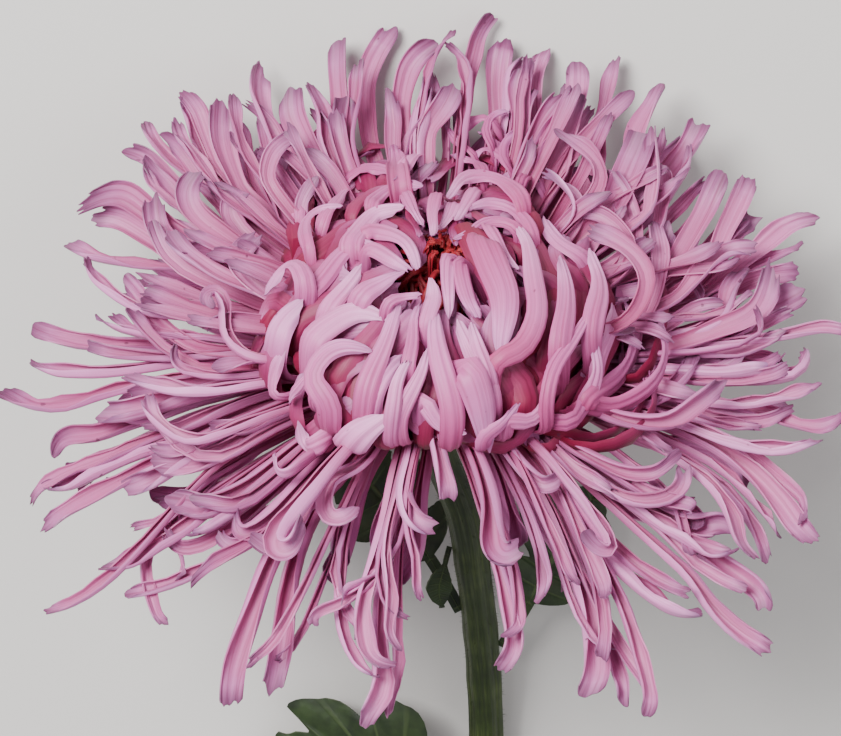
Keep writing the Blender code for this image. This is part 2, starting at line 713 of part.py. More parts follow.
def make_bloom(parts):
    """All the ray florets, fused on the receptacle, with a well left in the middle for the heart."""
    draw = random.Random(11)
    group = new_collection("rays")
    outer = BACK_RAYS + LEFT_RAYS + FRONT_RAYS + RIGHT_RAYS
    for index, (width, *pixels) in enumerate(outer):
        fine, places = stations(outer_line(pixels, draw))
        level = FLOOR_LEVELS[index % len(FLOOR_LEVELS)]
        blade("ray", group, fine, places, width * PIXEL, OUTER_WIDTHS, whorl_face, level)
    for width, *pixels in INCURVED_RAYS:
        fine, places = stations(incurved_line(pixels, draw))
        blade("incurved", group, fine, places, width * PIXEL, INCURVED_WIDTHS, dome_face, 0.0)
    for index in range(HIDDEN_RAYS):
        fine, places = stations(hidden_line(index, draw))
        level = FLOOR_LEVELS[index % len(FLOOR_LEVELS)]
        blade("hidden", group, fine, places, HIDDEN_WIDTH, OUTER_WIDTHS, whorl_face, level)
    bloom = round_lump("bloom", parts, CORE_RADIUS, CORE_ABOVE, CORE_BELOW, CORE_CENTRE, 16, 8)
    fuse(bloom, group)
    cutters = new_collection("cutters")
    top = CORE_CENTRE + CORE_ABOVE
    well = round_lump("well", cutters, WELL_RADIUS, HEART_TOP - top + GAP, 0.0, top + 0.0001, 12, 6)
    well.hide_render = True
    well.display_type = "WIRE"
    cut(bloom, well)
    keep_largest_body(bloom)
    return bloom


def make_heart(parts):
    """The young florets of the middle: thin, hooked inwards, on a low cushion."""
    draw = random.Random(5)
    group = new_collection("young_florets")
    foot = CORE_CENTRE + CORE_ABOVE + GAP
    for index in range(HEART_FLORETS):
        share = (index + 0.5) / HEART_FLORETS
        reach = HEART_RADIUS * (0.25 + 0.75 * math.sqrt(share))
        bearing = index * GOLDEN_ANGLE
        height = (HEART_TOP - foot) * draw.uniform(0.72, 0.96)
        hook = bearing + draw.uniform(-0.7, 0.7)
        line = [
            polar(0.7 * reach, bearing, foot + 0.0012),
            polar(0.95 * reach, bearing, foot + 0.45 * height),
            polar(0.85 * reach, hook, foot + 0.85 * height),
            polar(0.45 * reach, hook, foot + height),
        ]
        fine = smooth_line(line)
        places = [0, STEPS_A_SPAN, 2 * STEPS_A_SPAN, len(fine) - 1]
        blade("floret", group, fine, places, 0.0016, HEART_WIDTHS, dome_face, 0.0)
    heart = round_lump("heart", parts, HEART_RADIUS, 0.0030, 0.0, foot, 12, 4)
    fuse(heart, group)
    keep_largest_body(heart)
    return heart


def core_underside(reach):
    return CORE_CENTRE - CORE_BELOW * math.sqrt(1.0 - (reach / CORE_RADIUS) ** 2)


def make_involucre(parts):
    """The cup of overlapping bracts: a turned cup under the core, with two rows of pointed scales."""
    inner = [(reach, core_underside(reach) - GAP) for reach in (0.0, 0.0035, 0.0070, CUP_RADIUS - 0.0006)]
    outer = [(CUP_RADIUS, inner[-1][1] - 0.0005), (0.0098, -0.0062), (0.0075, -0.0092), (0.0046, -0.0116)]
    profile = inner + outer + [(STEM_RADIUS, CUP_BOTTOM), (0.0, CUP_BOTTOM)]
    mesh = bmesh.new()
    line = [mesh.verts.new((reach, 0.0, height)) for reach, height in profile]
    for here, there in zip(line, line[1:]):
        mesh.edges.new((here, there))
    cup = new_object("involucre", mesh, parts)
    cup.location = RECEPTACLE_AT
    cup.rotation_euler = (math.radians(90.0) - AXIS_RISE, 0.0, 0.0)
    turn = cup.modifiers.new("turn", "SCREW")
    turn.steps = 20
    turn.render_steps = 20
    turn.use_merge_vertices = True
    turn.merge_threshold = 0.00001
    keep_result(cup)
    cup.data.transform(cup.matrix_basis)
    cup.matrix_basis.identity()
    group = new_collection("bracts")
    draw = random.Random(8)
    for row in range(len(BRACT_ROWS)):
        for index in range(BRACTS_A_ROW):
            bearing = 2.0 * math.pi * (index + 0.5 * row + draw.uniform(-0.1, 0.1)) / BRACTS_A_ROW
            fine = smooth_line([polar(reach, bearing, height) for reach, height in BRACT_ROWS[row]])
            places = [0, STEPS_A_SPAN, 2 * STEPS_A_SPAN, len(fine) - 1]
            blade("bract", group, fine, places, BRACT_WIDTH, BRACT_WIDTHS, bract_face, 0.0)
    fuse(cup, group)
    keep_largest_body(cup)
    return cup


def at_height(place):
    """The world point seen at a pixel, at a height above the surface: (x pixel, y pixel, height)."""
    near = 0.12
    far = -0.16
    for _ in range(40):
        middle = 0.5 * (near + far)
        point = to_world(on_sight_line(place[:2], middle))
        if point[2] > place[2]:
            near = middle
        else:
            far = middle
    return point


def make_stem(parts):
    """A ribbed stem: a star-shaped section along a curve from under the cup down to the surface."""
    section = bpy.data.curves.new("stem_section", "CURVE")
    section.dimensions = "2D"
    ring = section.splines.new("POLY")
    ring.points.add(2 * STEM_RIBS - 1)
    ring.use_cyclic_u = True
    for index, corner in enumerate(ring.points):
        angle = -math.pi / 2.0 + math.pi * index / STEM_RIBS
        reach = STEM_RADIUS * (1.0 if index % 2 == 0 else STEM_GROOVE)
        corner.co = (reach * math.cos(angle), reach * math.sin(angle), 0.0, 1.0)
    section_object = bpy.data.objects.new("stem_section", section)
    top = to_world(np.array((0.0, 0.0, CUP_BOTTOM - GAP)))
    neck = [to_world(np.array((0.0, 0.0, CUP_BOTTOM - GAP - drop))) for drop in (0.004, 0.008)]
    route = [top, *neck] + [at_height(place) for place in STEM_ROUTE]
    fine = smooth_line(route)[:: STEPS_A_SPAN // 2]
    curve = bpy.data.curves.new("stem_route", "CURVE")
    curve.dimensions = "3D"
    curve.twist_mode = "Z_UP"
    spline = curve.splines.new("POLY")
    spline.points.add(len(fine) - 1)
    for index, (point, place) in enumerate(zip(spline.points, fine)):
        point.co = (*place, 1.0)
        point.radius = 0.94 + 0.10 * index / len(fine)
    curve.bevel_mode = "OBJECT"
    curve.bevel_object = section_object
    curve.use_fill_caps = True
    route_object = bpy.data.objects.new("stem_route", curve)
    parts.objects.link(route_object)
    parts.objects.link(section_object)
    bpy.context.view_layer.update()
    graph = bpy.context.evaluated_depsgraph_get()
    data = bpy.data.meshes.new_from_object(route_object.evaluated_get(graph))
    bpy.data.objects.remove(route_object, do_unlink=True)
    bpy.data.objects.remove(section_object, do_unlink=True)
    mesh = bmesh.new()
    mesh.from_mesh(data)
    bmesh.ops.remove_doubles(mesh, verts=mesh.verts, dist=0.00001)
    face_outwards(mesh)
    bpy.data.meshes.remove(data)
    for vertex in mesh.verts:
        vertex.co.z = max(vertex.co.z, 0.0)
    return new_object("stem", mesh, parts)


def make_leaf(parts, name, midrib, half_width, cup, leaf_rows):
    """A lobed leaf on its stalk: rows swept forward from the midrib to the edge, then given a thickness."""
    fine = smooth_line([at_height(place) for place in midrib])
    length = np.concatenate([[0.0], np.cumsum(np.linalg.norm(np.diff(fine, axis=0), axis=1))])
    length /= length[-1]

    def along(share):
        return np.array([np.interp(share, length, fine[:, k]) for k in range(3)])

    mesh = bmesh.new()
    rows = []
    for foot_share, edge_share, width in leaf_rows:
        foot = along(foot_share)
        edge = along(edge_share)
        ahead = along(min(1.0, edge_share + 0.02)) - along(max(0.0, edge_share - 0.02))
        side = np.cross(ahead, (0.0, 0.0, 1.0))
        side /= np.linalg.norm(side)
        reach = max(width * half_width, STALK_HALF_WIDTH if edge_share < 0.5 else 0.0)
        row = [mesh.verts.new(foot)]
        for sign in (-1.0, 1.0):
            place = edge + sign * side * reach
            place[2] = max(place[2] + cup * (reach / half_width) ** 2, LEAF_THICKNESS)
            row.append(mesh.verts.new(place))
        rows.append(row)
    tip = mesh.verts.new(along(1.0))
    for row, following in zip(rows, rows[1:]):
        for edge in (1, 2):
            mesh.faces.new((row[0], row[edge], following[edge]))
            mesh.faces.new((row[0], following[edge], following[0]))
    for edge in (1, 2):
        mesh.faces.new((rows[-1][0], rows[-1][edge], tip))
    bmesh.ops.recalc_face_normals(mesh, faces=mesh.faces)
    leaf = new_object(name, mesh, parts)
    wall = leaf.modifiers.new("thickness", "SOLIDIFY")
    wall.thickness = LEAF_THICKNESS
    wall.offset = 0.0
    return leaf


def main():
    clear_scene()
    parts = new_collection("spider_chrysanthemum")
    petal = new_material("ray_petal_pink", (0.62, 0.36, 0.52), 0.55)
    floret = new_material("young_floret_crimson", (0.42, 0.03, 0.02), 0.50)
    bract = new_material("bract_green", (0.09, 0.15, 0.05), 0.60)
    stalk = new_material("stem_green", (0.07, 0.13, 0.03), 0.55)
    blade_green = new_material("leaf_green", (0.03, 0.08, 0.03), 0.60)
    finish(make_bloom(parts), petal)
    finish(make_heart(parts), floret)
    finish(make_involucre(parts), bract)
    finish(make_stem(parts), stalk)
    for name, (half_width, cup, *midrib) in LEAVES.items():
        leaf_rows = SMALL_LEAF_ROWS if name == "leaf_small" else LEAF_ROWS
        finish(make_leaf(parts, name, midrib, half_width, cup, leaf_rows), blade_green)


main()
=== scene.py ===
"""The looks of a cut spider chrysanthemum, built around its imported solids.

Each ray floret is a flat blank bent along the same centre line that its solid blade follows, rolled
into a tube at its root and opened to a spoon at its tip. All lengths are in metres.
"""

import json
import math
import random
from functools import partial

import bpy
import numpy as np
from mathutils import Matrix

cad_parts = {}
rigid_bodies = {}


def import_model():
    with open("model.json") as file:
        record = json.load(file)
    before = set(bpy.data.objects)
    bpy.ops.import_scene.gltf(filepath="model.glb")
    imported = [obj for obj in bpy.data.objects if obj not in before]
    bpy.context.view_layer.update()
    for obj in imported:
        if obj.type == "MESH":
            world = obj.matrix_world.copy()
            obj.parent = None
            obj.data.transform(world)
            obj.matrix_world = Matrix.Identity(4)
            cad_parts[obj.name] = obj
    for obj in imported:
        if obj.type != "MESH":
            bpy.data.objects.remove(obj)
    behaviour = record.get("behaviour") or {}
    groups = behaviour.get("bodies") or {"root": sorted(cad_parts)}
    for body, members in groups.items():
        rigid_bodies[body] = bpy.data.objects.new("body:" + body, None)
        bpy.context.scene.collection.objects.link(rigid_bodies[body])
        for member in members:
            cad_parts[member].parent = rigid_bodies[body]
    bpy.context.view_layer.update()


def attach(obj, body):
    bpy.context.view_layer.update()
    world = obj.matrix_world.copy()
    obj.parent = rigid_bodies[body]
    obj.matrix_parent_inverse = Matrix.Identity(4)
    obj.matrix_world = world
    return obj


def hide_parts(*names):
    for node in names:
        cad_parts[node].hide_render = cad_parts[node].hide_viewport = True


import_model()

# The photograph, in pixels of its 841 x 736 frame
FRAME_CENTRE = (420.5, 368.0)
FRAME_WIDTH = 841.0
RECEPTACLE_PIXEL = (437.0, 368.0)

# The flower's own sizes, as in its solids
BLOOM_DIAMETER = 0.150
BLOOM_PIXELS = 840.0
PIXEL = BLOOM_DIAMETER / BLOOM_PIXELS
VIEWING_DISTANCE = 0.80
OUTER_REACH = 0.075
DOME_RADIUS = 0.034
DOME_HALF_HEIGHT = 0.017
DOME_CENTRE = 0.013
RECEPTACLE_REACH = 0.0070
STEM_RADIUS = 0.0034
CUP_BOTTOM = -0.0125
GAP = 0.0004

# The surface that the outer whorls follow, as in their solids: its rise at the sides, how much more
# it rises at the back and how that eases off, where it starts, how it droops in front, and how much
# higher the shorter rays stand
SIDE_SLOPE = 0.12
BACK_SLOPE = 0.455
EASED_SLOPE = 0.065
WHORL_START = 0.008
WHORL_FOOT = 0.0015
DROOP = 1.3
SHORT_RAY = 0.034
HIGHEST_LIFT = 0.013
LIFTED_FROM = 0.030

# The turn between rays that follow a rule, and how finely a centre line is divided
GOLDEN_ANGLE = math.pi * (3.0 - math.sqrt(5.0))
STEPS_A_SPAN = 12
LINE_POINTS = 64

# How the cut flower lies, as in its solids
SIGHT_TO_AXIS = math.radians(47.0)
AXIS_RISE = math.radians(25.0)
RECEPTACLE_AT = np.array((-0.0017, -0.0496, 0.0385))
RIGHT = np.array((-1.0, 0.0, 0.0))
AXIS = np.array((0.0, -math.cos(AXIS_RISE), math.sin(AXIS_RISE)))
FRONT = np.array((0.0, math.sin(AXIS_RISE), math.cos(AXIS_RISE)))
SIGHT = np.array((0.0, math.sin(SIGHT_TO_AXIS), math.cos(SIGHT_TO_AXIS)))
FLOWER_TO_WORLD = np.array((RIGHT, FRONT, AXIS))

# Rays of the outer whorls: width in pixels, then points in the photograph from the tip inwards
BACK_RAYS = [
    (14, (190, 90), (203, 125), (212, 150), (235, 185)),
    (24, (222, 103), (222, 140), (235, 175), (255, 205)),
    (16, (234, 88), (236, 120), (247, 155), (270, 190), (295, 220)),
    (22, (252, 58), (255, 90), (268, 125), (285, 160), (305, 190)),
    (22, (293, 80), (292, 110), (300, 130), (318, 165)),
    (24, (341, 34), (340, 70), (345, 120), (352, 165)),
    (22, (395, 22), (377, 50), (366, 85), (368, 130), (376, 165)),
    (20, (425, 39), (410, 62), (402, 95), (404, 140)),
    (20, (458, 84), (450, 100), (435, 120), (425, 150)),
    (16, (480, 12), (477, 35), (470, 65), (466, 98), (458, 150)),
    (24, (506, 30), (500, 60), (498, 95), (500, 120), (492, 160)),
    (18, (522, 58), (520, 90), (520, 125), (510, 160)),
    (13, (545, 45), (541, 65), (536, 100), (531, 140)),
    (13, (568, 88), (560, 110), (545, 140), (533, 165)),
    (18, (582, 59), (578, 85), (572, 120), (566, 150), (556, 185)),
    (18, (614, 53), (611, 75), (606, 100), (598, 130), (600, 165), (580, 200)),
    (16, (641, 137), (655, 165), (650, 200), (635, 225)),
    (26, (640, 133), (632, 160), (622, 185), (600, 220)),
    (20, (670, 84), (652, 105), (638, 130), (622, 180), (590, 230)),
]
LEFT_RAYS = [
    (14, (166, 121), (185, 143), (203, 168), (225, 198), (245, 222)),
    (15, (139, 117), (152, 140), (175, 165), (205, 185), (235, 212)),
    (22, (126, 143), (148, 155), (172, 180), (205, 212), (240, 240)),
    (22, (87, 180), (120, 192), (150, 215), (190, 240)),
    (20, (89, 205), (120, 215), (165, 245), (195, 268)),
    (18, (60, 241), (90, 255), (120, 262), (160, 268), (200, 276)),
    (16, (118, 277), (135, 290), (150, 315), (180, 340), (215, 350)),
    (15, (31, 333), (60, 338), (90, 345), (150, 345), (220, 350)),
    (16, (28, 371), (65, 372), (110, 372), (160, 365), (220, 358)),
    (16, (4, 388), (25, 405), (60, 408), (105, 393), (150, 382), (240, 370)),
    (20, (95, 410), (115, 411), (150, 407), (230, 388)),
    (19, (41, 448), (62, 435), (90, 434), (140, 418), (240, 390)),
    (12, (23, 496), (45, 485), (70, 470), (95, 463), (200, 420)),
    (18, (42, 500), (80, 480), (130, 457), (180, 440), (260, 405)),
    (18, (33, 527), (60, 512), (85, 497), (180, 450), (270, 410)),
    (20, (118, 492), (140, 485), (230, 435)),
    (18, (148, 468), (175, 465), (205, 460), (280, 420)),
    (16, (140, 364), (158, 383), (200, 390), (250, 385)),
    (16, (143, 390), (152, 410), (170, 430), (200, 440), (270, 415)),
    (12, (43, 614), (75, 603), (110, 577), (150, 535), (190, 490), (240, 450)),
    (18, (95, 570), (125, 565), (150, 550), (190, 525), (270, 460)),
    (14, (122, 590), (150, 590), (200, 570), (250, 540), (300, 505), (350, 450)),
    (11, (163, 632), (152, 600), (146, 570), (155, 540), (230, 480)),
    (20, (162, 510), (185, 505), (215, 505), (255, 480), (320, 430)),
    (15, (160, 532), (175, 548), (205, 543), (240, 520), (320, 450)),
    (16, (218, 313), (205, 300), (215, 288), (225, 305), (225, 335), (245, 355), (275, 360)),
    (26, (262, 232), (240, 255), (245, 275), (280, 300)),
    (22, (198, 173), (185, 190), (195, 215), (230, 240)),
    (22, (146, 196), (152, 215), (165, 240), (210, 270)),
    (22, (172, 227), (180, 245), (200, 262), (240, 285)),
    (18, (297, 136), (278, 145), (268, 165), (280, 200)),
]
FRONT_RAYS = [
    (16, (232, 505), (240, 535), (265, 520), (310, 470)),
    (16, (264, 530), (272, 548), (290, 530), (330, 470)),
    (20, (313, 540), (290, 552), (275, 540), (310, 495), (345, 450)),
    (24, (227, 714), (232, 680), (242, 640), (258, 590), (280, 540), (340, 450)),
    (11, (242, 663), (270, 648), (300, 595), (325, 540), (345, 500), (375, 440)),
    (12, (316, 634), (314, 615), (340, 605), (375, 575), (393, 530), (395, 490)),
    (13, (375, 685), (350, 655), (338, 615), (343, 560), (350, 520), (375, 450)),
    (18, (388, 678), (368, 655), (362, 610), (375, 560), (385, 520), (400, 450)),
    (13, (383, 650), (390, 600), (385, 545), (405, 470)),
    (16, (357, 724), (372, 705), (382, 685), (378, 640), (385, 560), (410, 460)),
    (16, (362, 510), (345, 520), (325, 515), (330, 480), (365, 460)),
    (18, (438, 530), (415, 520), (403, 495), (410, 460), (415, 430)),
    (18, (447, 512), (447, 485), (440, 455), (435, 430)),
    (22, (530, 548), (500, 555), (490, 500), (475, 455), (455, 420)),
    (16, (503, 672), (513, 645), (508, 610), (500, 570), (487, 520), (470, 470), (450, 420)),
    (18, (565, 470), (540, 485), (500, 440), (470, 410)),
    (18, (592, 703), (598, 660), (590, 620), (570, 560), (545, 500), (500, 430)),
    (14, (548, 603), (545, 570), (530, 520), (495, 450)),
    (15, (643, 719), (652, 700), (638, 650), (620, 600), (590, 540), (565, 490), (510, 430)),
    (10, (650, 690), (625, 655), (608, 625), (575, 560), (520, 470)),
    (18, (702, 620), (680, 615), (650, 595), (610, 560), (570, 510), (520, 440)),
    (16, (583, 535), (598, 550), (615, 550), (590, 510), (540, 450)),
]
RIGHT_RAYS = [
    (18, (705, 122), (692, 140), (675, 165), (655, 190), (610, 240)),
    (22, (726, 177), (708, 205), (690, 235), (670, 265), (630, 300)),
    (14, (705, 172), (690, 195), (670, 215), (630, 260)),
    (16, (752, 174), (745, 195), (728, 225), (710, 260), (660, 300)),
    (18, (757, 210), (745, 220), (725, 235), (670, 280)),
    (16, (805, 207), (785, 228), (760, 250), (740, 265), (670, 310)),
    (18, (806, 250), (785, 255), (755, 265), (680, 310)),
    (26, (808, 290), (790, 300), (765, 310), (690, 335)),
    (18, (758, 257), (735, 250), (710, 262), (690, 285), (650, 310)),
    (26, (779, 262), (770, 290), (755, 315), (720, 330), (650, 350)),
    (12, (785, 304), (765, 325), (730, 330), (690, 335), (620, 350)),
    (12, (850, 328), (812, 327), (780, 335), (700, 345), (620, 355)),
    (13, (805, 340), (808, 360), (795, 375), (740, 380), (640, 375)),
    (18, (776, 368), (730, 372), (680, 370), (640, 368), (570, 365)),
    (20, (727, 379), (705, 400), (670, 422), (630, 420), (590, 405), (530, 385)),
    (14, (824, 386), (790, 395), (740, 405), (690, 400), (600, 385)),
    (16, (850, 430), (800, 425), (760, 410), (720, 405), (620, 385)),
    (18, (822, 432), (790, 450), (740, 445), (690, 425), (640, 410), (560, 385)),
    (18, (805, 550), (795, 525), (770, 490), (730, 455), (680, 430), (590, 400)),
    (13, (816, 516), (795, 490), (765, 465), (740, 445), (620, 400)),
    (14, (742, 562), (735, 520), (712, 485), (670, 455), (630, 430), (540, 400)),
    (16, (673, 453), (655, 472), (620, 470), (570, 445), (530, 415), (490, 395)),
    (16, (683, 458), (682, 485), (655, 500), (610, 490), (520, 420)),
    (16, (622, 483), (590, 478), (560, 455), (530, 430), (490, 400)),
    (18, (727, 538), (722, 525), (690, 525), (650, 505), (600, 475), (510, 415)),
    (16, (742, 562), (715, 555), (680, 535), (640, 510), (540, 440)),
    (16, (765, 615), (765, 595), (740, 575), (700, 550), (650, 515), (540, 430)),
    (14, (773, 652), (745, 635), (715, 610), (690, 575), (650, 540), (560, 460)),
    (16, (653, 217), (660, 255), (652, 298), (620, 330)),
    (24, (613, 170), (625, 200), (635, 235), (610, 280)),
    (18, (583, 233), (610, 238), (637, 258), (645, 290), (610, 330)),
    (16, (573, 218), (600, 212), (622, 230), (632, 255), (600, 290)),
    (22, (541, 173), (565, 185), (578, 210), (560, 240)),
    (16, (553, 135), (580, 145), (600, 170), (585, 205)),
]
# Incurved rays of the middle, whose tips lean over it: width in pixels, then points from the tip down
INCURVED_RAYS = [
    (22, (655, 317), (664, 350), (650, 385), (610, 405), (580, 400)),
    (18, (613, 293), (612, 330), (600, 365)),
    (20, (632, 298), (638, 335), (622, 375), (590, 400)),
    (14, (590, 303), (575, 335), (555, 370), (548, 400)),
    (18, (588, 340), (597, 370), (580, 405), (555, 420)),
    (16, (553, 362), (550, 400), (530, 422), (505, 418)),
    (22, (560, 255), (565, 300), (560, 345)),
    (22, (590, 250), (600, 290), (590, 330)),
    (22, (548, 214), (560, 240), (590, 265)),
    (20, (517, 217), (532, 265), (541, 315), (525, 350), (495, 363)),
    (28, (496, 356), (503, 300), (490, 262), (480, 235)),
    (12, (512, 268), (505, 245), (490, 222)),
    (16, (457, 315), (450, 285), (455, 255)),
    (15, (467, 213), (490, 204), (515, 212), (535, 240)),
    (12, (457, 240), (490, 222), (520, 235)),
    (18, (447, 195), (470, 175), (500, 180), (525, 205)),
    (15, (497, 180), (520, 170), (541, 185)),
    (22, (442, 306), (437, 345), (450, 415)),
    (22, (455, 315), (470, 350), (490, 400)),
    (18, (470, 318), (480, 345), (492, 380)),
    (30, (490, 456), (480, 400), (465, 365)),
    (18, (468, 437), (440, 430), (420, 400)),
    (22, (403, 303), (388, 340), (368, 375), (362, 398)),
    (14, (417, 300), (415, 335), (405, 372)),
    (24, (400, 348), (382, 370), (368, 402)),
    (16, (432, 345), (422, 380), (408, 405), (400, 420)),
    (27, (388, 318), (355, 310), (318, 330), (308, 345)),
    (22, (370, 340), (335, 350), (313, 378), (328, 402)),
    (32, (388, 412), (365, 432), (350, 450)),
    (32, (308, 300), (285, 318), (276, 340)),
    (20, (272, 300), (290, 268), (308, 285)),
    (16, (288, 342), (272, 378), (285, 400)),
    (20, (383, 248), (360, 242), (340, 255), (318, 285), (305, 300)),
    (22, (364, 265), (345, 285), (325, 318)),
    (22, (404, 270), (380, 285), (358, 305)),
    (18, (416, 266), (402, 242), (378, 230), (360, 235)),
    (22, (403, 213), (375, 213), (355, 235), (350, 250)),
    (15, (422, 190), (400, 186), (378, 197), (370, 210)),
    (12, (436, 240), (432, 215), (437, 197)),
    (15, (442, 228), (448, 212), (455, 200)),
    (14, (363, 178), (345, 190), (330, 205), (318, 225)),
    (14, (332, 170), (310, 175), (298, 200), (298, 215)),
    (14, (340, 203), (315, 208), (302, 225), (305, 250)),
    (15, (398, 183), (380, 172), (362, 170), (345, 185)),
    (18, (440, 163), (420, 158), (403, 172)),
    (22, (397, 143), (395, 160), (400, 185)),
    (20, (318, 142), (318, 165), (320, 190)),
]

# The stem's route: points in the photograph, each with its height above the surface, head first
STEM_ROUTE = [
    (462, 505, 0.0262),
    (472, 560, 0.0204),
    (479, 610, 0.0152),
    (485, 680, 0.0088),
    (487, 750, 0.0052),
    (486, 830, 0.0038),
    (482, 930, 0.0035),
    (474, 1060, 0.0035),
]
# Each leaf: half its width, how far its edges lift, and its midrib from the stem to the tip
LEAVES = {
    "leaf_left": (0.0105, 0.0015, (455, 602, 0.0155), (434, 565, 0.0150), (408, 528, 0.0115))
    + ((370, 484, 0.0070), (336, 446, 0.0035)),
    "leaf_right": (0.0105, 0.0015, (507, 639, 0.0125), (528, 604, 0.0135), (546, 570, 0.0120))
    + ((574, 524, 0.0080), (600, 486, 0.0040)),
    "leaf_small": (0.0024, 0.0004, (447, 557, 0.0222), (443, 572, 0.0230), (439, 590, 0.0225))
    + ((442, 608, 0.0210),),
    "leaf_low": (0.0125, -0.0015, (464, 790, 0.0055), (434, 762, 0.0095), (390, 745, 0.0105))
    + ((335, 752, 0.0070), (268, 790, 0.0020)),
}

# Rays that only the looks have, between those of the solids: width in pixels, then points from the
# tip inwards
EXTRA_OUTER = [
    (14, (356, 56), (356, 90), (350, 125), (355, 165)),
    (22, (430, 62), (430, 90), (420, 120), (418, 160)),
    (12, (447, 29), (440, 48), (430, 65), (422, 110), (420, 150)),
    (12, (453, 41), (461, 58), (468, 75), (466, 110), (462, 150)),
    (14, (516, 51), (512, 80), (508, 120), (500, 160)),
    (16, (303, 84), (314, 96), (325, 118), (330, 160)),
    (10, (184, 105), (195, 140), (208, 165), (235, 195)),
    (18, (440, 93), (430, 106), (422, 130), (418, 160)),
    (16, (565, 92), (552, 104), (540, 122), (525, 160)),
    (12, (80, 265), (110, 290), (145, 311), (200, 320)),
    (10, (111, 315), (130, 328), (160, 332), (210, 338)),
    (14, (702, 152), (690, 165), (670, 190), (640, 225)),
    (14, (803, 273), (785, 272), (750, 280), (690, 305)),
    (16, (740, 265), (728, 295), (722, 318), (680, 335)),
    (14, (790, 338), (768, 340), (745, 350), (690, 352)),
    (12, (788, 362), (762, 366), (740, 362), (680, 358)),
    (12, (570, 590), (566, 565), (552, 530), (515, 455)),
    (12, (608, 603), (606, 585), (590, 550), (540, 455)),
    (12, (660, 158), (665, 180), (660, 210), (640, 245)),
]
EXTRA_INCURVED = [
    (14, (475, 320), (465, 290), (462, 260)),
    (16, (521, 400), (513, 412), (500, 428), (484, 438)),
    (14, (435, 275), (432, 300), (425, 330)),
    (14, (398, 360), (393, 400), (390, 418)),
    (12, (283, 400), (300, 385), (312, 375)),
    (20, (297, 420), (305, 445), (325, 440)),
    (22, (272, 452), (280, 475), (305, 462)),
    (14, (407, 272), (385, 255), (365, 250)),
    (12, (420, 222), (410, 205), (402, 195)),
    (12, (457, 221), (467, 203), (477, 190)),
    (12, (345, 121), (325, 126), (312, 138), (306, 165)),
    (10, (423, 292), (400, 296), (385, 308)),
    (13, (458, 140), (466, 122), (484, 116), (500, 128)),
    (12, (511, 108), (496, 112), (486, 130), (494, 152)),
    (11, (468, 160), (480, 148), (498, 150), (510, 166)),
    (13, (524, 132), (510, 138), (504, 156), (513, 176)),
    (10, (476, 134), (490, 136), (498, 148), (496, 166)),
    (11, (450, 150), (458, 158), (474, 162), (486, 176)),
    (10, (520, 150), (530, 158), (530, 172), (520, 186)),
    (12, (446, 118), (452, 134), (464, 146), (478, 158)),
]

# Rays placed by a rule where the photograph shows only that the head is full, and the heart
HIDDEN_RAYS = 28
HIDDEN_WIDTH = 0.0036
FILL_RAYS = 104
INNER_RAYS = 84
YOUNG_FLORETS = 130
# The middle of the dome in the photograph
DOME_PIXEL = (440.0, 300.0)
# How far the heart stands off the flower's axis and above its solid
HEART_SHIFT = np.array((0.0008, -0.0030, 0.0018))

# Rays whose tips stand above this row of the photograph open early and show their broad faces, and
# extra incurved ones above the other row are deeper in colour
OPEN_ABOVE = 300.0
DEEP_ABOVE = 165.0

# The rays beside the outer ones stand so far behind them. Those hooked close round the dome, with
# their tips within so many pixels of the middle, have none.
SECOND_BEHIND = 0.0025
HOOKED_WITHIN = 265.0

# The shorter rays that fill the head: their reach and width, and the sines of the bearings between
# which they stand, because the very back and the front are full without them
FILL_REACHES = (0.034, 0.056)
FILL_SIZES = (0.0026, 0.0036)
FILL_BACK = -0.90
FILL_FRONT = 0.35

# How wide the rays inside the dome are
INNER_SIZES = (0.0034, 0.0048)

# A ray beside or behind another is so much slimmer
SLIMMER = 0.92

# The rays behind the incurved ones: how far behind, and the least and most that they are shrunk
INNER_COMPANIONS = ((0.0044, 0.93, 1.0), (0.0034, 1.02, 1.14))

# Seeds of the random draws, the first of them the same as in the solids
SOLID_DRAWS = 11
LOOK_DRAWS = 23
HEART_DRAWS = 5
BRACT_DRAWS = 8
HAIR_DRAWS = 17

# Faces across and along each flat blank
FINE_GRID = (14, 40)
PLAIN_GRID = (8, 20)
TUBE_GRID = (6, 14)
BRACT_GRID = (8, 16)
KNOB_GRID = (40, 24)
CUP_GRID = (48, 24)
STEM_GRID = (84, 150)
LEAF_GRID = (16, 96)

# The look of each kind of floret: tone, crimson at the root (partly its own colour, partly painted shade of
# the bloom's depth), curl, twist in radians and early opening
LOOKS = {
    "outer": (0.66, 0.36, 0.0034, 0.50, 0.25),
    "second": (0.60, 0.50, 0.0034, 0.50, 0.25),
    "extra_outer": (0.56, 0.40, 0.0034, 0.50, 0.25),
    "fill": (0.52, 0.60, 0.0024, 0.35, 0.30),
    "hidden": (0.30, 0.40, 0.0030, 0.40, 0.30),
    "incurved": (0.66, 0.40, 0.0016, 0.16, 0.15),
    "extra_incurved": (0.60, 0.45, 0.0016, 0.16, 0.15),
    # The companions and the rays inside the dome are deep in tone and strongly crimson: painted shade of
    # the gaps between the incurved rays
    "companion": (0.18, 0.85, 0.0014, 0.14, 0.15),
    "inner": (0.25, 1.0, 0.0008, 0.15, 0.15),
    "young": (0.4, 0.6, 0.0003, 0.3, 0.2),
    "bract": (0.5, 0.0, 0.0004, 0.06, 0.0),
}

# Heights above the surface that nothing of a centre line, a petal or a leaf goes under
LOWEST_LINE = 0.0010
LOWEST_PETAL = 0.0003
LOWEST_LEAF = 0.0005

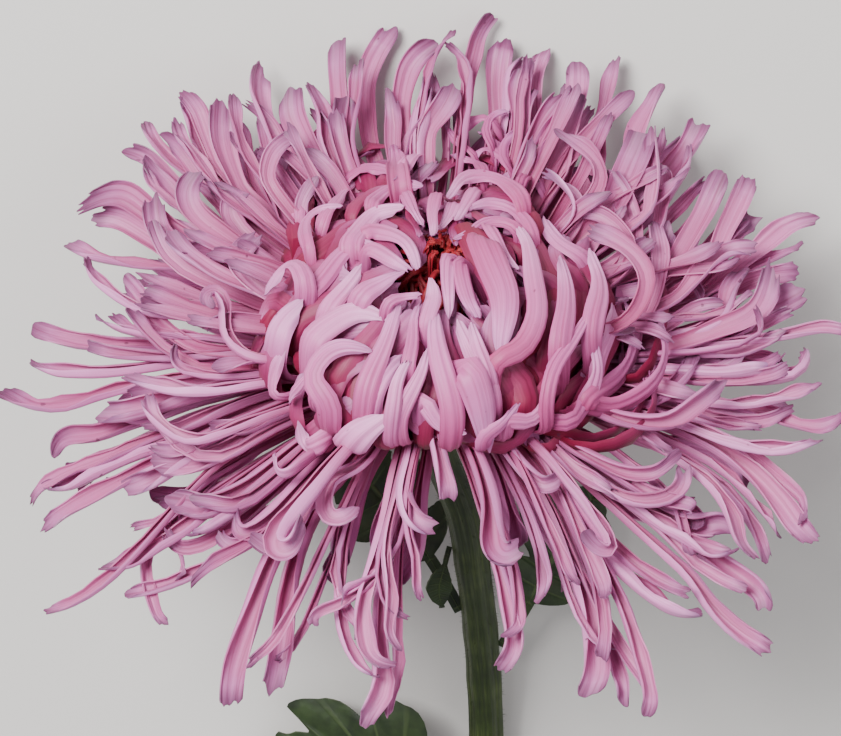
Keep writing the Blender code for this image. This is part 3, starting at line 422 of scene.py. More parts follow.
# Each kind of petal from root to tip: the share of its length, then its width as a share of the full
# width, or half of the arc that it is rolled into, in degrees
OUTER_WIDTHS = ((0.0, 0.58), (0.45, 0.72), (0.74, 0.88), (0.90, 1.06), (1.0, 0.92))
OUTER_ROLL = ((0.0, 172.0), (0.55, 164.0), (0.76, 146.0), (0.86, 112.0), (0.93, 80.0), (1.0, 64.0))
BACK_ROLL = ((0.0, 165.0), (0.30, 140.0), (0.55, 96.0), (0.80, 66.0), (1.0, 54.0))
INCURVED_WIDTHS = ((0.0, 0.50), (0.28, 0.74), (0.60, 1.16), (0.80, 1.02), (1.0, 0.44))
INCURVED_ROLL = ((0.0, 130.0), (0.35, 76.0), (0.65, 56.0), (1.0, 50.0))
TUBE_WIDTHS = ((0.0, 0.9), (0.5, 1.0), (1.0, 0.8))
TUBE_ROLL = ((0.0, 170.0), (0.6, 160.0), (1.0, 110.0))
BRACT_WIDTHS = ((0.0, 0.9), (0.45, 1.0), (0.8, 0.62), (1.0, 0.22))
BRACT_ROLL = ((0.0, 34.0), (1.0, 26.0))
PETAL_THICKNESS = 0.00024
FLORET_THICKNESS = 0.00022
# The share of a blank's rows that make the body of a petal, before those that shape its tip
BODY_ROWS = 0.66

# The cup of bracts under the head, as in its solid: distance from the axis and height along it.
# Each row of bracts has its number, then one bract's line.
CUP_SIDE = ((0.0, -0.0046), (0.0090, -0.0036), (0.0102, -0.0042), (0.0100, -0.0060))
CUP_SIDE += ((0.0078, -0.0089), (0.0049, -0.0115), (0.0036, -0.0126), (0.0, -0.0126))
BRACT_WIDTH = 0.0050
BRACT_THICKNESS = 0.00030
BRACT_ROWS = (
    (13, (0.0062, -0.0093), (0.0093, -0.0067), (0.0109, -0.0048), (0.0120, -0.0036)),
    (12, (0.0046, -0.0107), (0.0082, -0.0088), (0.0102, -0.0066), (0.0110, -0.0050)),
    (9, (0.0038, -0.0120), (0.0064, -0.0106), (0.0084, -0.0086), (0.0092, -0.0072)),
)

# The knob that carries the florets, inside the head
KNOB_SIDE = ((0.0, 0.0128), (0.0030, 0.0124), (0.0058, 0.0104), (0.0078, 0.0070))
KNOB_SIDE += ((0.0090, 0.0020), (0.0092, -0.0030), (0.0084, -0.0050), (0.0, -0.0056))

# The stem: its ribs, as in its solid, its knots, where its cut end starts, and its hairs
STEM_RIBS = 7
STEM_GROOVE = 0.10
STEM_KNOTS = (0.24, 0.36, 0.44, 0.86)
PITH_FROM = 0.96
STEM_HAIRS = 900
HAIR_RADIUS = 0.00005
HAIR_LENGTH = 0.0009

# Rows of a leaf: where each leaves the midrib, how far along it meets the edge, share of the half width
LEAF_ROWS = (
    (0.00, 0.00, 0.0),
    (0.16, 0.16, 0.0),
    (0.30, 0.29, 0.0),
    (0.34, 0.32, 0.30),
    (0.37, 0.38, 0.62),
    (0.40, 0.43, 0.70),
    (0.43, 0.49, 0.76),
    (0.46, 0.48, 0.56),
    (0.49, 0.50, 0.36),
    (0.52, 0.55, 0.62),
    (0.55, 0.60, 0.84),
    (0.58, 0.66, 0.92),
    (0.61, 0.72, 1.00),
    (0.64, 0.71, 0.72),
    (0.67, 0.70, 0.44),
    (0.71, 0.75, 0.52),
    (0.76, 0.80, 0.66),
    (0.81, 0.86, 0.60),
    (0.86, 0.90, 0.38),
    (0.92, 0.95, 0.24),
    (1.00, 1.00, 0.0),
)
SMALL_LEAF_ROWS = (
    (0.00, 0.00, 0.0),
    (0.20, 0.20, 0.0),
    (0.42, 0.45, 0.75),
    (0.60, 0.65, 1.00),
    (0.80, 0.85, 0.62),
    (1.00, 1.00, 0.0),
)
LEAF_THICKNESS = 0.0006
STALK_HALF_WIDTH = 0.0011
# How far the foot of a stalk sinks into the stem
STALK_SUNK = 0.002

# What the petals' tissue is like all over
PETAL_TISSUE = {
    "Roughness": 0.50,
    "IOR": 1.38,
    "Subsurface Weight": 0.10,
    "Subsurface Radius": (0.0020, 0.0008, 0.0012),
    "Subsurface Scale": 1.0,
    "Sheen Weight": 0.04,
    "Sheen Roughness": 0.5,
}
# Each petal skin: how dark its veins are, then a deep and a pale run of colours from root to tip. The dark
# crimson at the root end is partly the petals' own colour and partly painted shade of the bloom's depth.
# The back of a petal and its face, which is the side that it rolls inwards, have skins of their own.
PETAL_SKINS = {
    "outer_ligule_back": (
        0.62,
        ((0.0, "#7a0a1c"), (0.20, "#a03062"), (0.45, "#b85c98"), (0.82, "#bc6aa2"), (1.0, "#744064")),
        ((0.0, "#a62a4c"), (0.22, "#cc6a9c"), (0.50, "#de8cc6"), (0.82, "#e49acf"), (1.0, "#a0689a")),
    ),
    "outer_ligule_face": (
        0.62,
        ((0.0, "#8c0818"), (0.25, "#962a56"), (0.55, "#a84a7e"), (0.82, "#a0588a"), (1.0, "#643656")),
        ((0.0, "#9c1030"), (0.25, "#b44c7e"), (0.55, "#ca72a4"), (0.82, "#be74a4"), (1.0, "#804a70")),
    ),
    "incurved_ligule_back": (
        0.50,
        ((0.0, "#6a0818"), (0.26, "#962050"), (0.50, "#b44a88"), (0.84, "#c66caa"), (1.0, "#a05a8e")),
        ((0.0, "#8c1634"), (0.28, "#b63e78"), (0.52, "#ce6ca8"), (0.80, "#e492c8"), (1.0, "#d88ec0")),
    ),
    "incurved_ligule_face": (
        0.55,
        ((0.0, "#8c0818"), (0.25, "#9a2252"), (0.55, "#ae447e"), (0.85, "#b25a92"), (1.0, "#8c4674")),
        ((0.0, "#9c1030"), (0.25, "#b24479"), (0.55, "#ca6aa2"), (0.85, "#cc76ac"), (1.0, "#a85e90")),
    ),
    # The rays inside the dome have darker skins all through: painted shade of the deep crimson gaps between
    # the incurved rays
    "inner_ligule_back": (
        0.45,
        ((0.0, "#4a0412"), (0.35, "#6c082e"), (0.60, "#8a2458"), (0.85, "#aa5086"), (1.0, "#a45a8a")),
        ((0.0, "#6a081c"), (0.35, "#8e1846"), (0.60, "#ae447c"), (0.85, "#cc7cb0"), (1.0, "#cc8cba")),
    ),
    "inner_ligule_face": (
        0.55,
        ((0.0, "#5a0414"), (0.35, "#7c0e36"), (0.60, "#8e2858"), (0.85, "#a04a7e"), (1.0, "#8c4674")),
        ((0.0, "#7a0820"), (0.35, "#981a46"), (0.60, "#ac3e76"), (0.85, "#c0669e"), (1.0, "#a85e90")),
    ),
    # The young florets: crimson of their own, darker at the root partly as painted shade of the heart's
    # depth, and orange-red at the tip partly as painted highlight
    "young_floret_skin": (
        0.30,
        ((0.0, "#4a0408"), (0.40, "#68060f"), (0.75, "#860a1c"), (1.0, "#a0242c")),
        ((0.0, "#5a060a"), (0.40, "#7e0a16"), (0.75, "#a41428"), (1.0, "#cc4644")),
    ),
}

# Each lamp: its name, place, width and power in watts
LAMPS = (
    ("key", (0.45, -0.62, 0.85), 0.50, 27.0),
    ("fill", (-0.70, -0.20, 0.70), 0.80, 3.0),
)


def plain_colour(code):
    """An sRGB hex value as linear RGBA."""
    parts = [int(code[i : i + 2], 16) / 255.0 for i in (1, 3, 5)]
    return [part / 12.92 if part <= 0.04045 else ((part + 0.055) / 1.055) ** 2.4 for part in parts] + [1.0]


def add_node(tree, kind, inputs=(), stops=(), out=0, **settings):
    """Adds a node with its settings, its inputs as values or as the outputs that feed them, in order or
    by name, and a ramp's colours, and gives back the output that is used."""
    node = tree.nodes.new("ShaderNode" + kind)
    for name, value in settings.items():
        setattr(node, name, value)
    for name, value in inputs.items() if isinstance(inputs, dict) else enumerate(inputs):
        if isinstance(value, bpy.types.NodeSocket):
            tree.links.new(value, node.inputs[name])
        else:
            node.inputs[name].default_value = value
    for index, (place, code) in enumerate(stops):
        if index > 1:
            element = node.color_ramp.elements.new(place)
        else:
            element = node.color_ramp.elements[index]
            element.position = place
        element.color = plain_colour(code)
    return node.outputs[out]


def new_finish(name, settings):
    """A material whose shader has these settings, and what adds a node to it."""
    material = bpy.data.materials.new(name)
    material.use_nodes = True
    tree = material.node_tree
    for socket, value in settings.items():
        tree.nodes["Principled BSDF"].inputs[socket].default_value = value
    return material, partial(add_node, tree)


def covered(material, colour, relief):
    """The material, its shader fed this colour and this relief."""
    tree = material.node_tree
    shader = tree.nodes["Principled BSDF"]
    tree.links.new(colour, shader.inputs["Base Color"])
    tree.links.new(relief, shader.inputs["Normal"])
    return material


def map_and_place(add):
    """Across and along the piece's own map, and the place on the piece."""
    split = add("SeparateXYZ", {"Vector": add("UVMap", uv_map="UVMap")}).node
    return split.outputs["X"], split.outputs["Y"], add("TexCoord", out="Object")


def from_the_middle(add, across):
    """Distance from the middle line of the map: 0 on it and 1 at either edge."""
    centred = add("Math", (across, 2.0, -1.0), operation="MULTIPLY_ADD")
    return add("Math", (centred,), operation="ABSOLUTE")


def petal_finish(name, vein_depth, deep_stops, pale_stops):
    """Fresh ligule tissue: thin, soft and a little translucent, with fine uneven veins along each floret.
    A floret is 4 to 5 mm wide when flattened, and its veins are about half a millimetre apart."""
    material, add = new_finish(name, PETAL_TISSUE)
    across, along, place = map_and_place(add)
    tone = add("Attribute", out="Fac", attribute_name="tone")
    flush = add("Attribute", out="Fac", attribute_name="flush")
    # Soft clouds about 7 mm across shift where the colours change
    clouds = add("TexNoise", {"Vector": place, "Scale": 140.0, "Detail": 3.0})
    shift = add("Math", (clouds, 0.16, -0.08), operation="MULTIPLY_ADD")
    reached = add("Math", (along, shift), operation="ADD")
    deep = add("ValToRGB", (reached,), deep_stops)
    pale = add("ValToRGB", (reached,), pale_stops)
    base = add("Mix", {0: tone, 6: deep, 7: pale}, out=2, data_type="RGBA")
    # Crimson rises from the root of a floret: partly its own colour, partly painted shade of the bloom's
    # depth, strongest on the rays deep inside
    rest = add("Math", (1.0, along), operation="SUBTRACT")
    near = add("Math", (rest, 1.6), operation="POWER")
    share = add("Math", (near, flush), operation="MULTIPLY")
    base = add("Mix", {0: share, 6: base, 7: plain_colour("#7e082c")}, out=2, data_type="RGBA")
    # Veins: noise drawn out along the floret, another draw on each one
    wide = add("Math", (across, 10.0), operation="MULTIPLY")
    drawn = add("Math", (along, 1.3), operation="MULTIPLY")
    other = add("Math", (tone, 90.0), operation="MULTIPLY")
    drawn_out = add("CombineXYZ", (wide, drawn, other))
    fibres = {"Vector": drawn_out, "Scale": 1.0, "Detail": 4.0, "Roughness": 0.62}
    fibres = add("TexNoise", fibres)
    vein = {"Value": fibres, "From Min": 0.47, "From Max": 0.70, "To Min": 0.0, "To Max": vein_depth}
    vein = add("MapRange", vein)
    darker = {0: 1.0, 6: base, 7: plain_colour("#a8557f")}
    darker = add("Mix", darker, out=2, data_type="RGBA", blend_type="MULTIPLY")
    base = add("Mix", {0: vein, 6: base, 7: darker}, out=2, data_type="RGBA")
    # A few brown specks, under a millimetre across
    specks = add("TexNoise", {"Vector": place, "Scale": 420.0, "Detail": 1.0})
    specks = {"Value": specks, "From Min": 0.775, "From Max": 0.80, "To Min": 0.0, "To Max": 0.7}
    base = {0: add("MapRange", specks), 6: base, 7: plain_colour("#5a2740")}
    base = add("Mix", base, out=2, data_type="RGBA")
    # The veins stand a tenth of a millimetre proud, on skin with a very fine grain
    relief = add("Bump", {"Height": fibres, "Strength": 0.40, "Distance": 0.00030})
    grain = add("TexNoise", {"Vector": place, "Scale": 2600.0, "Detail": 2.0})
    relief = {"Height": grain, "Strength": 0.12, "Distance": 0.00006, "Normal": relief}
    return covered(material, base, add("Bump", relief))


def stem_finish():
    """Green ribbed skin, blotched and streaked along the stem, with a dull waxy bloom."""
    material, add = new_finish("green_stem_skin", {"Roughness": 0.48, "IOR": 1.42})
    flat = add("UVMap", uv_map="UVMap")
    place = add("TexCoord", out="Object")
    drawn_out = add("Mapping", {"Vector": flat, "Scale": (42.0, 14.0, 1.0)})
    fibres = add("TexNoise", {"Vector": drawn_out, "Scale": 1.0, "Detail": 4.0, "Roughness": 0.6})
    blotches = add("TexNoise", {"Vector": place, "Scale": 110.0, "Detail": 3.0})
    both = add("Math", (blotches, 0.5), operation="MULTIPLY")
    both = add("Math", (fibres, 0.5, both), operation="MULTIPLY_ADD")
    base = add("ValToRGB", (both,), ((0.36, "#19220c"), (0.50, "#2b3814"), (0.64, "#485426")))
    relief = add("Bump", {"Height": fibres, "Strength": 0.5, "Distance": 0.00025})
    return covered(material, base, relief)


def pith_finish():
    """The cut end: a pale spongy middle inside a ring of greener, wetter tissue."""
    material, add = new_finish("cut_stem_pith", {"Roughness": 0.38})
    _, along, place = map_and_place(add)
    sponge = add("TexVoronoi", {"Vector": place, "Scale": 2400.0, "Randomness": 1.0})
    stops = ((0.964, "#4f6a2e"), (0.975, "#a9b27a"), (0.985, "#dfe0c2"), (1.0, "#ecead6"))
    base = {0: 0.25, 6: add("ValToRGB", (along,), stops), 7: sponge}
    base = add("Mix", base, out=2, data_type="RGBA", blend_type="MULTIPLY")
    relief = add("Bump", {"Height": sponge, "Strength": 0.6, "Distance": 0.0002})
    return covered(material, base, relief)


def leaf_finish(name, dark, light, vein_colour):
    """Leaf skin: dull green between a pale midrib and side veins, which follow the lobes of the blade."""
    material, add = new_finish(name, {"Roughness": 0.56, "IOR": 1.42})
    across, along, place = map_and_place(add)
    aside = from_the_middle(add, across)
    midrib = {"Value": aside, "From Min": 0.02, "From Max": 0.09, "To Min": 1.0, "To Max": 0.0}
    midrib = add("MapRange", midrib)
    # A side vein every 5 or 6 mm, thinning out towards the edge
    waves = add("Math", (along, 70.0), operation="MULTIPLY")
    waves = add("Math", (waves,), operation="SINE")
    side = {"Value": waves, "From Min": 0.90, "From Max": 0.99, "To Min": 0.0, "To Max": 0.8}
    side = add("MapRange", side)
    thin = {"Value": aside, "From Min": 0.0, "From Max": 0.95, "To Min": 1.0, "To Max": 0.2}
    side = add("Math", (side, add("MapRange", thin)), operation="MULTIPLY")
    veins = add("Math", (side, midrib), operation="MAXIMUM")
    blotches = add("TexNoise", {"Vector": place, "Scale": 260.0, "Detail": 4.0})
    skin = add("ValToRGB", (blotches,), ((0.35, dark), (0.66, light)))
    base = add("Mix", {0: veins, 6: skin, 7: plain_colour(vein_colour)}, out=2, data_type="RGBA")
    # Cells about a millimetre across swell between the smallest veins
    cells = add("TexVoronoi", {"Vector": place, "Scale": 900.0}, feature="SMOOTH_F1")
    relief = add("Bump", {"Height": cells, "Strength": 0.35, "Distance": 0.0002})
    relief = {"Height": veins, "Strength": 0.6, "Distance": 0.0003, "Normal": relief}
    return covered(material, base, add("Bump", relief))


def bract_finish():
    """Bract skin: green down the middle, with a thin dry papery edge."""
    material, add = new_finish("bract_skin", {"Roughness": 0.60})
    across, _, place = map_and_place(add)
    tatter = add("TexNoise", {"Vector": place, "Scale": 900.0, "Detail": 3.0})
    ragged = add("Math", (tatter, 0.20, from_the_middle(add, across)), operation="MULTIPLY_ADD")
    stops = ((0.10, "#3c5223"), (0.62, "#2b3d1a"), (0.84, "#6d6a3c"), (1.0, "#b39b6c"))
    relief = add("Bump", {"Height": tatter, "Strength": 0.4, "Distance": 0.0002})
    return covered(material, add("ValToRGB", (ragged,), stops), relief)


def receptacle_finish():
    """The knob that carries the florets, pitted where they are set. Its dark crimson is painted shade of
    the hollow deep between their roots.
    """
    material, add = new_finish("receptacle_skin", {"Roughness": 0.60})
    pits = add("TexVoronoi", {"Vector": add("TexCoord", out="Object"), "Scale": 700.0})
    relief = add("Bump", {"Height": pits, "Strength": 0.7, "Distance": 0.0004})
    # Dark crimson: painted shade of the hollow deep between the floret roots
    return covered(material, add("ValToRGB", (pits,), ((0.05, "#4a0610"), (0.60, "#8a1426"))), relief)


def to_world(point):
    """Flower coordinates (across, front, height) to the world."""
    return RECEPTACLE_AT + np.asarray(point) @ FLOWER_TO_WORLD


def on_sight_line(pixel, towards):
    """The point seen at a pixel, this far towards the viewer from the receptacle."""
    shrink = 1.0 - towards / VIEWING_DISTANCE
    across = (pixel[0] - FRAME_CENTRE[0]) * PIXEL * shrink
    across += (FRAME_CENTRE[0] - RECEPTACLE_PIXEL[0]) * PIXEL
    up = (FRAME_CENTRE[1] - pixel[1]) * PIXEL * shrink
    front = towards * math.sin(SIGHT_TO_AXIS) - up * math.cos(SIGHT_TO_AXIS)
    height = towards * math.cos(SIGHT_TO_AXIS) + up * math.sin(SIGHT_TO_AXIS)
    return np.array((across, front, height))


def sight_search(pixel, near, far, rounds, is_above):
    """Where the line of sight through a pixel comes down to a surface, found by halving."""
    for _ in range(rounds):
        middle = 0.5 * (near + far)
        point = on_sight_line(pixel, middle)
        if is_above(point):
            near = middle
        else:
            far = middle
    return point


def whorl_height(point, lift):
    """How high the outer whorls stand at this point: they rise at the back and droop in front."""
    reach = reach_of(point)
    back = -point[1] / max(reach, 1e-6)
    slope = SIDE_SLOPE + BACK_SLOPE * back - EASED_SLOPE * back * back
    share = max(0.0, (reach - WHORL_START) / (OUTER_REACH - WHORL_START))
    bend = share ** (DROOP if slope < 0.0 else 1.0)
    return WHORL_FOOT + slope * OUTER_REACH * bend + lift * min(1.0, reach / LIFTED_FROM)


def on_whorl(pixel, lift):
    """The point seen at a pixel on the surface of the outer whorls."""
    return sight_search(pixel, 0.09, -0.09, 30, lambda point: point[2] > whorl_height(point, lift))


def dome_level(point, lift):
    """Under 1 inside the dome of incurved rays, over 1 outside it."""
    reach = reach_of(point) / (DOME_RADIUS + lift)
    height = (point[2] - DOME_CENTRE) / (DOME_HALF_HEIGHT + lift)
    return reach * reach + height * height


def on_dome(pixel, lift):
    """The point seen at a pixel on the near side of the dome, or beside it where the dome is missed."""
    steps = np.linspace(0.055, -0.045, 101)
    levels = [dome_level(on_sight_line(pixel, towards), lift) for towards in steps]
    for step, level in zip(steps, levels):
        if level <= 1.0:
            return on_sight_line(pixel, step)
    return on_sight_line(pixel, steps[int(np.argmin(levels))])


def at_height(place):
    """The world point seen at a pixel, at a height above the surface: (x pixel, y pixel, height)."""
    point = sight_search(place[:2], 0.12, -0.16, 40, lambda point: to_world(point)[2] > place[2])
    return to_world(point)


def pressed(point, level):
    """Moves a point along the line of sight until it is no lower than this level."""
    short = level - to_world(point)[2]
    if short <= 0.0:
        return point
    rise = (SIGHT[1] * FRONT + SIGHT[2] * AXIS)[2]
    return point + SIGHT * short / rise


def polar(reach, bearing, height):
    """A point by its distance from the axis and its bearing from the right towards the front."""
    return np.array((reach * math.cos(bearing), reach * math.sin(bearing), height))


def reach_of(point):
    """A point's distance from the flower's axis."""
    return math.hypot(point[0], point[1])


def bearing_of(point):
    """A point's bearing round the flower's axis, from the right towards the front."""
    return math.atan2(point[1], point[0])


def outer_lift(pixel):
    """The shorter a ray is, the higher its whorl."""
    share = min(1.0, max(0.0, (reach_of(on_whorl(pixel, 0.0)) - SHORT_RAY) / (OUTER_REACH - SHORT_RAY)))
    return HIGHEST_LIFT * (1.0 - share * share * (3.0 - 2.0 * share))


def outer_line(pixels, draw):
    """The centre line of a ray of the outer whorls, root first."""
    lift = outer_lift(pixels[0]) + draw.uniform(-0.0045, 0.0035)
    shown = [on_whorl(pixel, lift) for pixel in pixels]
    root = polar(RECEPTACLE_REACH, bearing_of(shown[-1]), 0.0020 + 0.2 * lift)
    return [root] + shown[::-1]


def incurved_line(pixels, draw):
    """The centre line of an incurved ray: out from the receptacle, round its belly and over the middle."""
    lift = draw.uniform(-0.0012, 0.0012)
    shown = [on_dome(pixel, lift) for pixel in pixels]
    belly = shown[-1]
    reach = reach_of(belly)
    bearing = bearing_of(belly)
    line = [polar(RECEPTACLE_REACH, bearing, 0.0050)]
    # Near the middle it passes over the core, and otherwise round the belly of the dome
    if reach < 0.016:
        line.append(polar(0.0125, bearing, 0.0160))
    elif belly[2] > 0.012:
        line.append(polar(0.62 * reach, bearing, 0.0060))
        line.append(polar(0.97 * reach, bearing, 0.0100))
    return line + shown[::-1]


def hidden_line(index, draw):
    """The centre line of a ray of the lowest whorls, under those that show."""
    bearing = index * GOLDEN_ANGLE + draw.uniform(-0.08, 0.08)
    front = math.sin(bearing)
    reach = 0.060 + draw.uniform(-0.004, 0.004) - 0.024 * max(0.0, front) ** 2
    drop = draw.uniform(0.003, 0.013)
    line = [polar(RECEPTACLE_REACH, bearing, 0.0010)]
    for share in (0.38, 0.62, 0.82, 1.0):
        point = polar(share * reach, bearing + 0.10 * share * draw.uniform(-1, 1), 0.0)
        point[2] = whorl_height(point, -drop * share)
        if front < 0.0:
            point[2] -= 0.018 * share * front * front
        line.append(point)
    return line


def fill_line(index, draw):
    """The centre line of a shorter ray that fills the head between the rays read from the photograph."""
    bearing = index * GOLDEN_ANGLE + draw.uniform(-0.12, 0.12)
    reach = draw.uniform(*FILL_REACHES)
    shorter = (FILL_REACHES[1] - reach) / (FILL_REACHES[1] - FILL_REACHES[0])
    lift = draw.uniform(-0.003, 0.006) + 0.012 * shorter
    line = [polar(RECEPTACLE_REACH, bearing, 0.0030)]
    swing = draw.uniform(-0.16, 0.16)
    for share in (0.40, 0.62, 0.82, 1.0):
        point = polar(share * reach, bearing + swing * share * share, 0.0)
        point[2] = whorl_height(point, lift) + 0.002 * share * share
        line.append(point)
    return line


def inner_line(index, draw):
    """The centre line of an incurved ray inside the dome, behind those that show."""
    bearing = index * GOLDEN_ANGLE + draw.uniform(-0.12, 0.12)
    shrink = draw.uniform(0.62, 0.92)
    lean = draw.uniform(0.25, 0.55)
    line = [polar(0.0060, bearing, 0.0060)]
    for share in (0.25, 0.50, 0.75, 1.0):
        angle = share * math.radians(90.0 - 90.0 * lean * 0.8)
        reach = shrink * DOME_RADIUS * math.cos(angle)
        height = DOME_CENTRE + shrink * DOME_HALF_HEIGHT * 1.02 * math.sin(angle) - 0.006 * (1.0 - share)
        line.append(polar(reach, bearing + 0.25 * share * draw.uniform(-1, 1), height))
    return line


def beside(pixels, middle, shrinks, turns, draw):
    """The pixels of a ray beside this one: turned about a middle by so many degrees, and shrunk."""
    turn = draw.choice((-1.0, 1.0)) * math.radians(draw.uniform(*turns))
    shrink = draw.uniform(*shrinks)
    turned = []
    for across, down in pixels:
        right = across - middle[0]
        below = down - middle[1]
        new_right = shrink * (right * math.cos(turn) - below * math.sin(turn))
        new_below = shrink * (right * math.sin(turn) + below * math.cos(turn))
        turned.append((middle[0] + new_right, middle[1] + new_below))
    return turned


def young_line(index, draw):
    """The centre line of a young floret of the heart, hooked over the middle."""
    share = (index + 0.5) / YOUNG_FLORETS
    reach = 0.0010 + 0.0094 * math.sqrt(share)
    bearing = index * GOLDEN_ANGLE
    height = 0.0248 - 0.003 * share + draw.uniform(-0.0045, 0.0012)
    hook = bearing + draw.uniform(-0.9, 0.9)
    line = [
        polar(0.45 * reach, bearing, 0.0100),
        polar(0.95 * reach, bearing, 0.45 * height + 0.006),
        polar(1.00 * reach, bearing, 0.85 * height),
        polar(0.72 * reach, hook, height),
        polar(0.34 * reach, hook, height - draw.uniform(-0.0002, 0.0016)),
    ]
    return [point + HEART_SHIFT for point in line]


def unit(vectors):
    """The same directions, each with a length of one."""
    return vectors / np.linalg.norm(vectors, axis=-1, keepdims=True)


def travelled_to(points):
    """How far along a line each of its points is."""
    return np.concatenate([[0.0], np.cumsum(np.linalg.norm(np.diff(points, axis=0), axis=1))])


def read_at(places, known, values):
    """Rows of values that are known at some places along a line, read at other places along it."""
    return np.stack([np.interp(places, known, column) for column in values.T], axis=1)


def smooth_line(line):
    """Evenly spaced points on a smooth curve through the line's points."""
    points = np.array([line[0] * 2 - line[1], *line, line[-1] * 2 - line[-2]])
    fine = []
    for i in range(1, len(points) - 2):
        before, here, there, after = points[i - 1 : i + 3]
        for t in np.linspace(0.0, 1.0, STEPS_A_SPAN, endpoint=False):
            bend = 2 * before - 5 * here + 4 * there - after
            swing = 3 * here - before - 3 * there + after
            fine.append(here + 0.5 * ((there - before) * t + bend * t * t + swing * t**3))
    fine = np.array([*fine, points[-2]])
    travelled = travelled_to(fine)
    fine = read_at(np.linspace(0.0, travelled[-1], LINE_POINTS), travelled, fine)
    for _ in range(6):
        fine[1:-1] = 0.25 * fine[:-2] + 0.5 * fine[1:-1] + 0.25 * fine[2:]
    return fine


def whorl_face(point):
    """Where the inner face of an outer ray looks: out of its whorl, and a little to the viewer."""
    reach = max(reach_of(point), 1e-6)
    slope = SIDE_SLOPE - BACK_SLOPE * point[1] / reach
    face = np.array((-slope * point[0] / reach, -slope * point[1] / reach, 1.0)) + 0.35 * SIGHT
    return unit(face)


def dome_face(point):
    """Where the inner face of an incurved ray looks: into the dome."""
    away = np.array((point[0], point[1], 0.0)) / DOME_RADIUS**2
    away[2] = (point[2] - DOME_CENTRE) / DOME_HALF_HEIGHT**2
    face = -away / max(np.linalg.norm(away), 1e-9) - 0.6 * SIGHT
    return unit(face)


def inward_face(point):
    """Where the inner face of a young floret looks: towards the flower's axis."""
    return np.array((-point[0], -point[1], 0.3 * reach_of(point) + 1e-6))


def upward_face(point):
    """Where the inner face of a bract looks: up to the florets that it carries."""
    reach = max(reach_of(point), 1e-6)
    face = np.array((-0.75 * point[0] / reach, -0.75 * point[1] / reach, 1.0))
    return unit(face)


def select(items):
    """Leaves only these objects selected, with the first of them active."""
    for item in bpy.context.selected_objects:
        item.select_set(False)
    for item in items:
        item.select_set(True)
        bpy.context.view_layer.objects.active = items[0]


def joined(items, name):
    """One object from several."""
    select(items)
    bpy.ops.object.join()
    piece = bpy.context.object
    piece.name = name
    return piece


def flat_blank(name, across, along):
    """A flat sheet whose map runs across it in u and along it in v, modelled once for all that it makes."""
    select(())
    bpy.ops.mesh.primitive_grid_add(x_subdivisions=across, y_subdivisions=along, size=2.0)
    blank = bpy.context.object
    blank.name = name
    return blank


def blank_places(blank):
    """Each point of a blank: from -1 to 1 across it, and from 0 to 1 along it."""
    flat = np.empty(3 * len(blank.data.vertices))
    blank.data.vertices.foreach_get("co", flat)
    flat = flat.reshape(-1, 3)
    return flat[:, 0], 0.5 + 0.5 * flat[:, 1]


def shaped(blank, name, places):
    """A copy of a blank with its points at these places of the world."""
    item = blank.copy()
    item.data = blank.data.copy()
    item.name = name
    bpy.context.scene.collection.objects.link(item)
    item.data.vertices.foreach_set("co", places.ravel())
    item.data.update()
    return item


def eased(table, share):
    """The values of a table at these shares, with its corners rounded."""
    shares, values = zip(*table)
    steps = np.linspace(-0.1, 1.1, 121)
    level = np.interp(steps, shares, values)
    padded = np.pad(level, 6, mode="edge")
    level = np.convolve(padded, np.ones(13) / 13.0, mode="valid")
    return np.interp(share, steps, level)


def frames_along(fine, face_of):
    """Tangents, sides and upper directions along a centre line, with no sudden turns."""
    tangents = unit(np.gradient(fine, axis=0))
    sides = []
    for tangent, point in zip(tangents, fine):
        side = np.cross(tangent, face_of(point))
        length = np.linalg.norm(side)
        if length < 0.15 and sides:
            side = sides[-1]
        elif sides and np.dot(side, sides[-1]) < 0.0:
            side = -side
        sides.append(unit(side))
    sides = np.array(sides)
    kernel = np.ones(11) / 11.0
    padded = np.pad(sides, ((5, 5), (0, 0)), mode="edge")
    sides = np.stack([np.convolve(padded[:, k], kernel, mode="valid") for k in range(3)], axis=1)
    sides = unit(sides - tangents * np.sum(sides * tangents, axis=1)[:, None])
    return tangents, sides, np.cross(sides, tangents)


def tip_edge(u, look):
    """How far the rounded, toothed end of a petal falls short of its tip, in half widths."""
    round_end = 1.0 - np.sqrt(1.0 - (0.985 * u) ** 2)
    pointed_end = 1.2 * np.abs(u) ** 1.4
    rounded = look["round"] * (round_end + look["pointed"] * (pointed_end - round_end))
    teeth = look["teeth"] * np.abs(np.sin(0.5 * math.pi * look["tooth_count"] * (u + look["phase"])))
    notch = look["notch"] * np.exp(-(((u - look["notch_at"]) / 0.30) ** 2))
    return rounded + teeth + notch + look["slant"] * (0.5 + 0.5 * u)


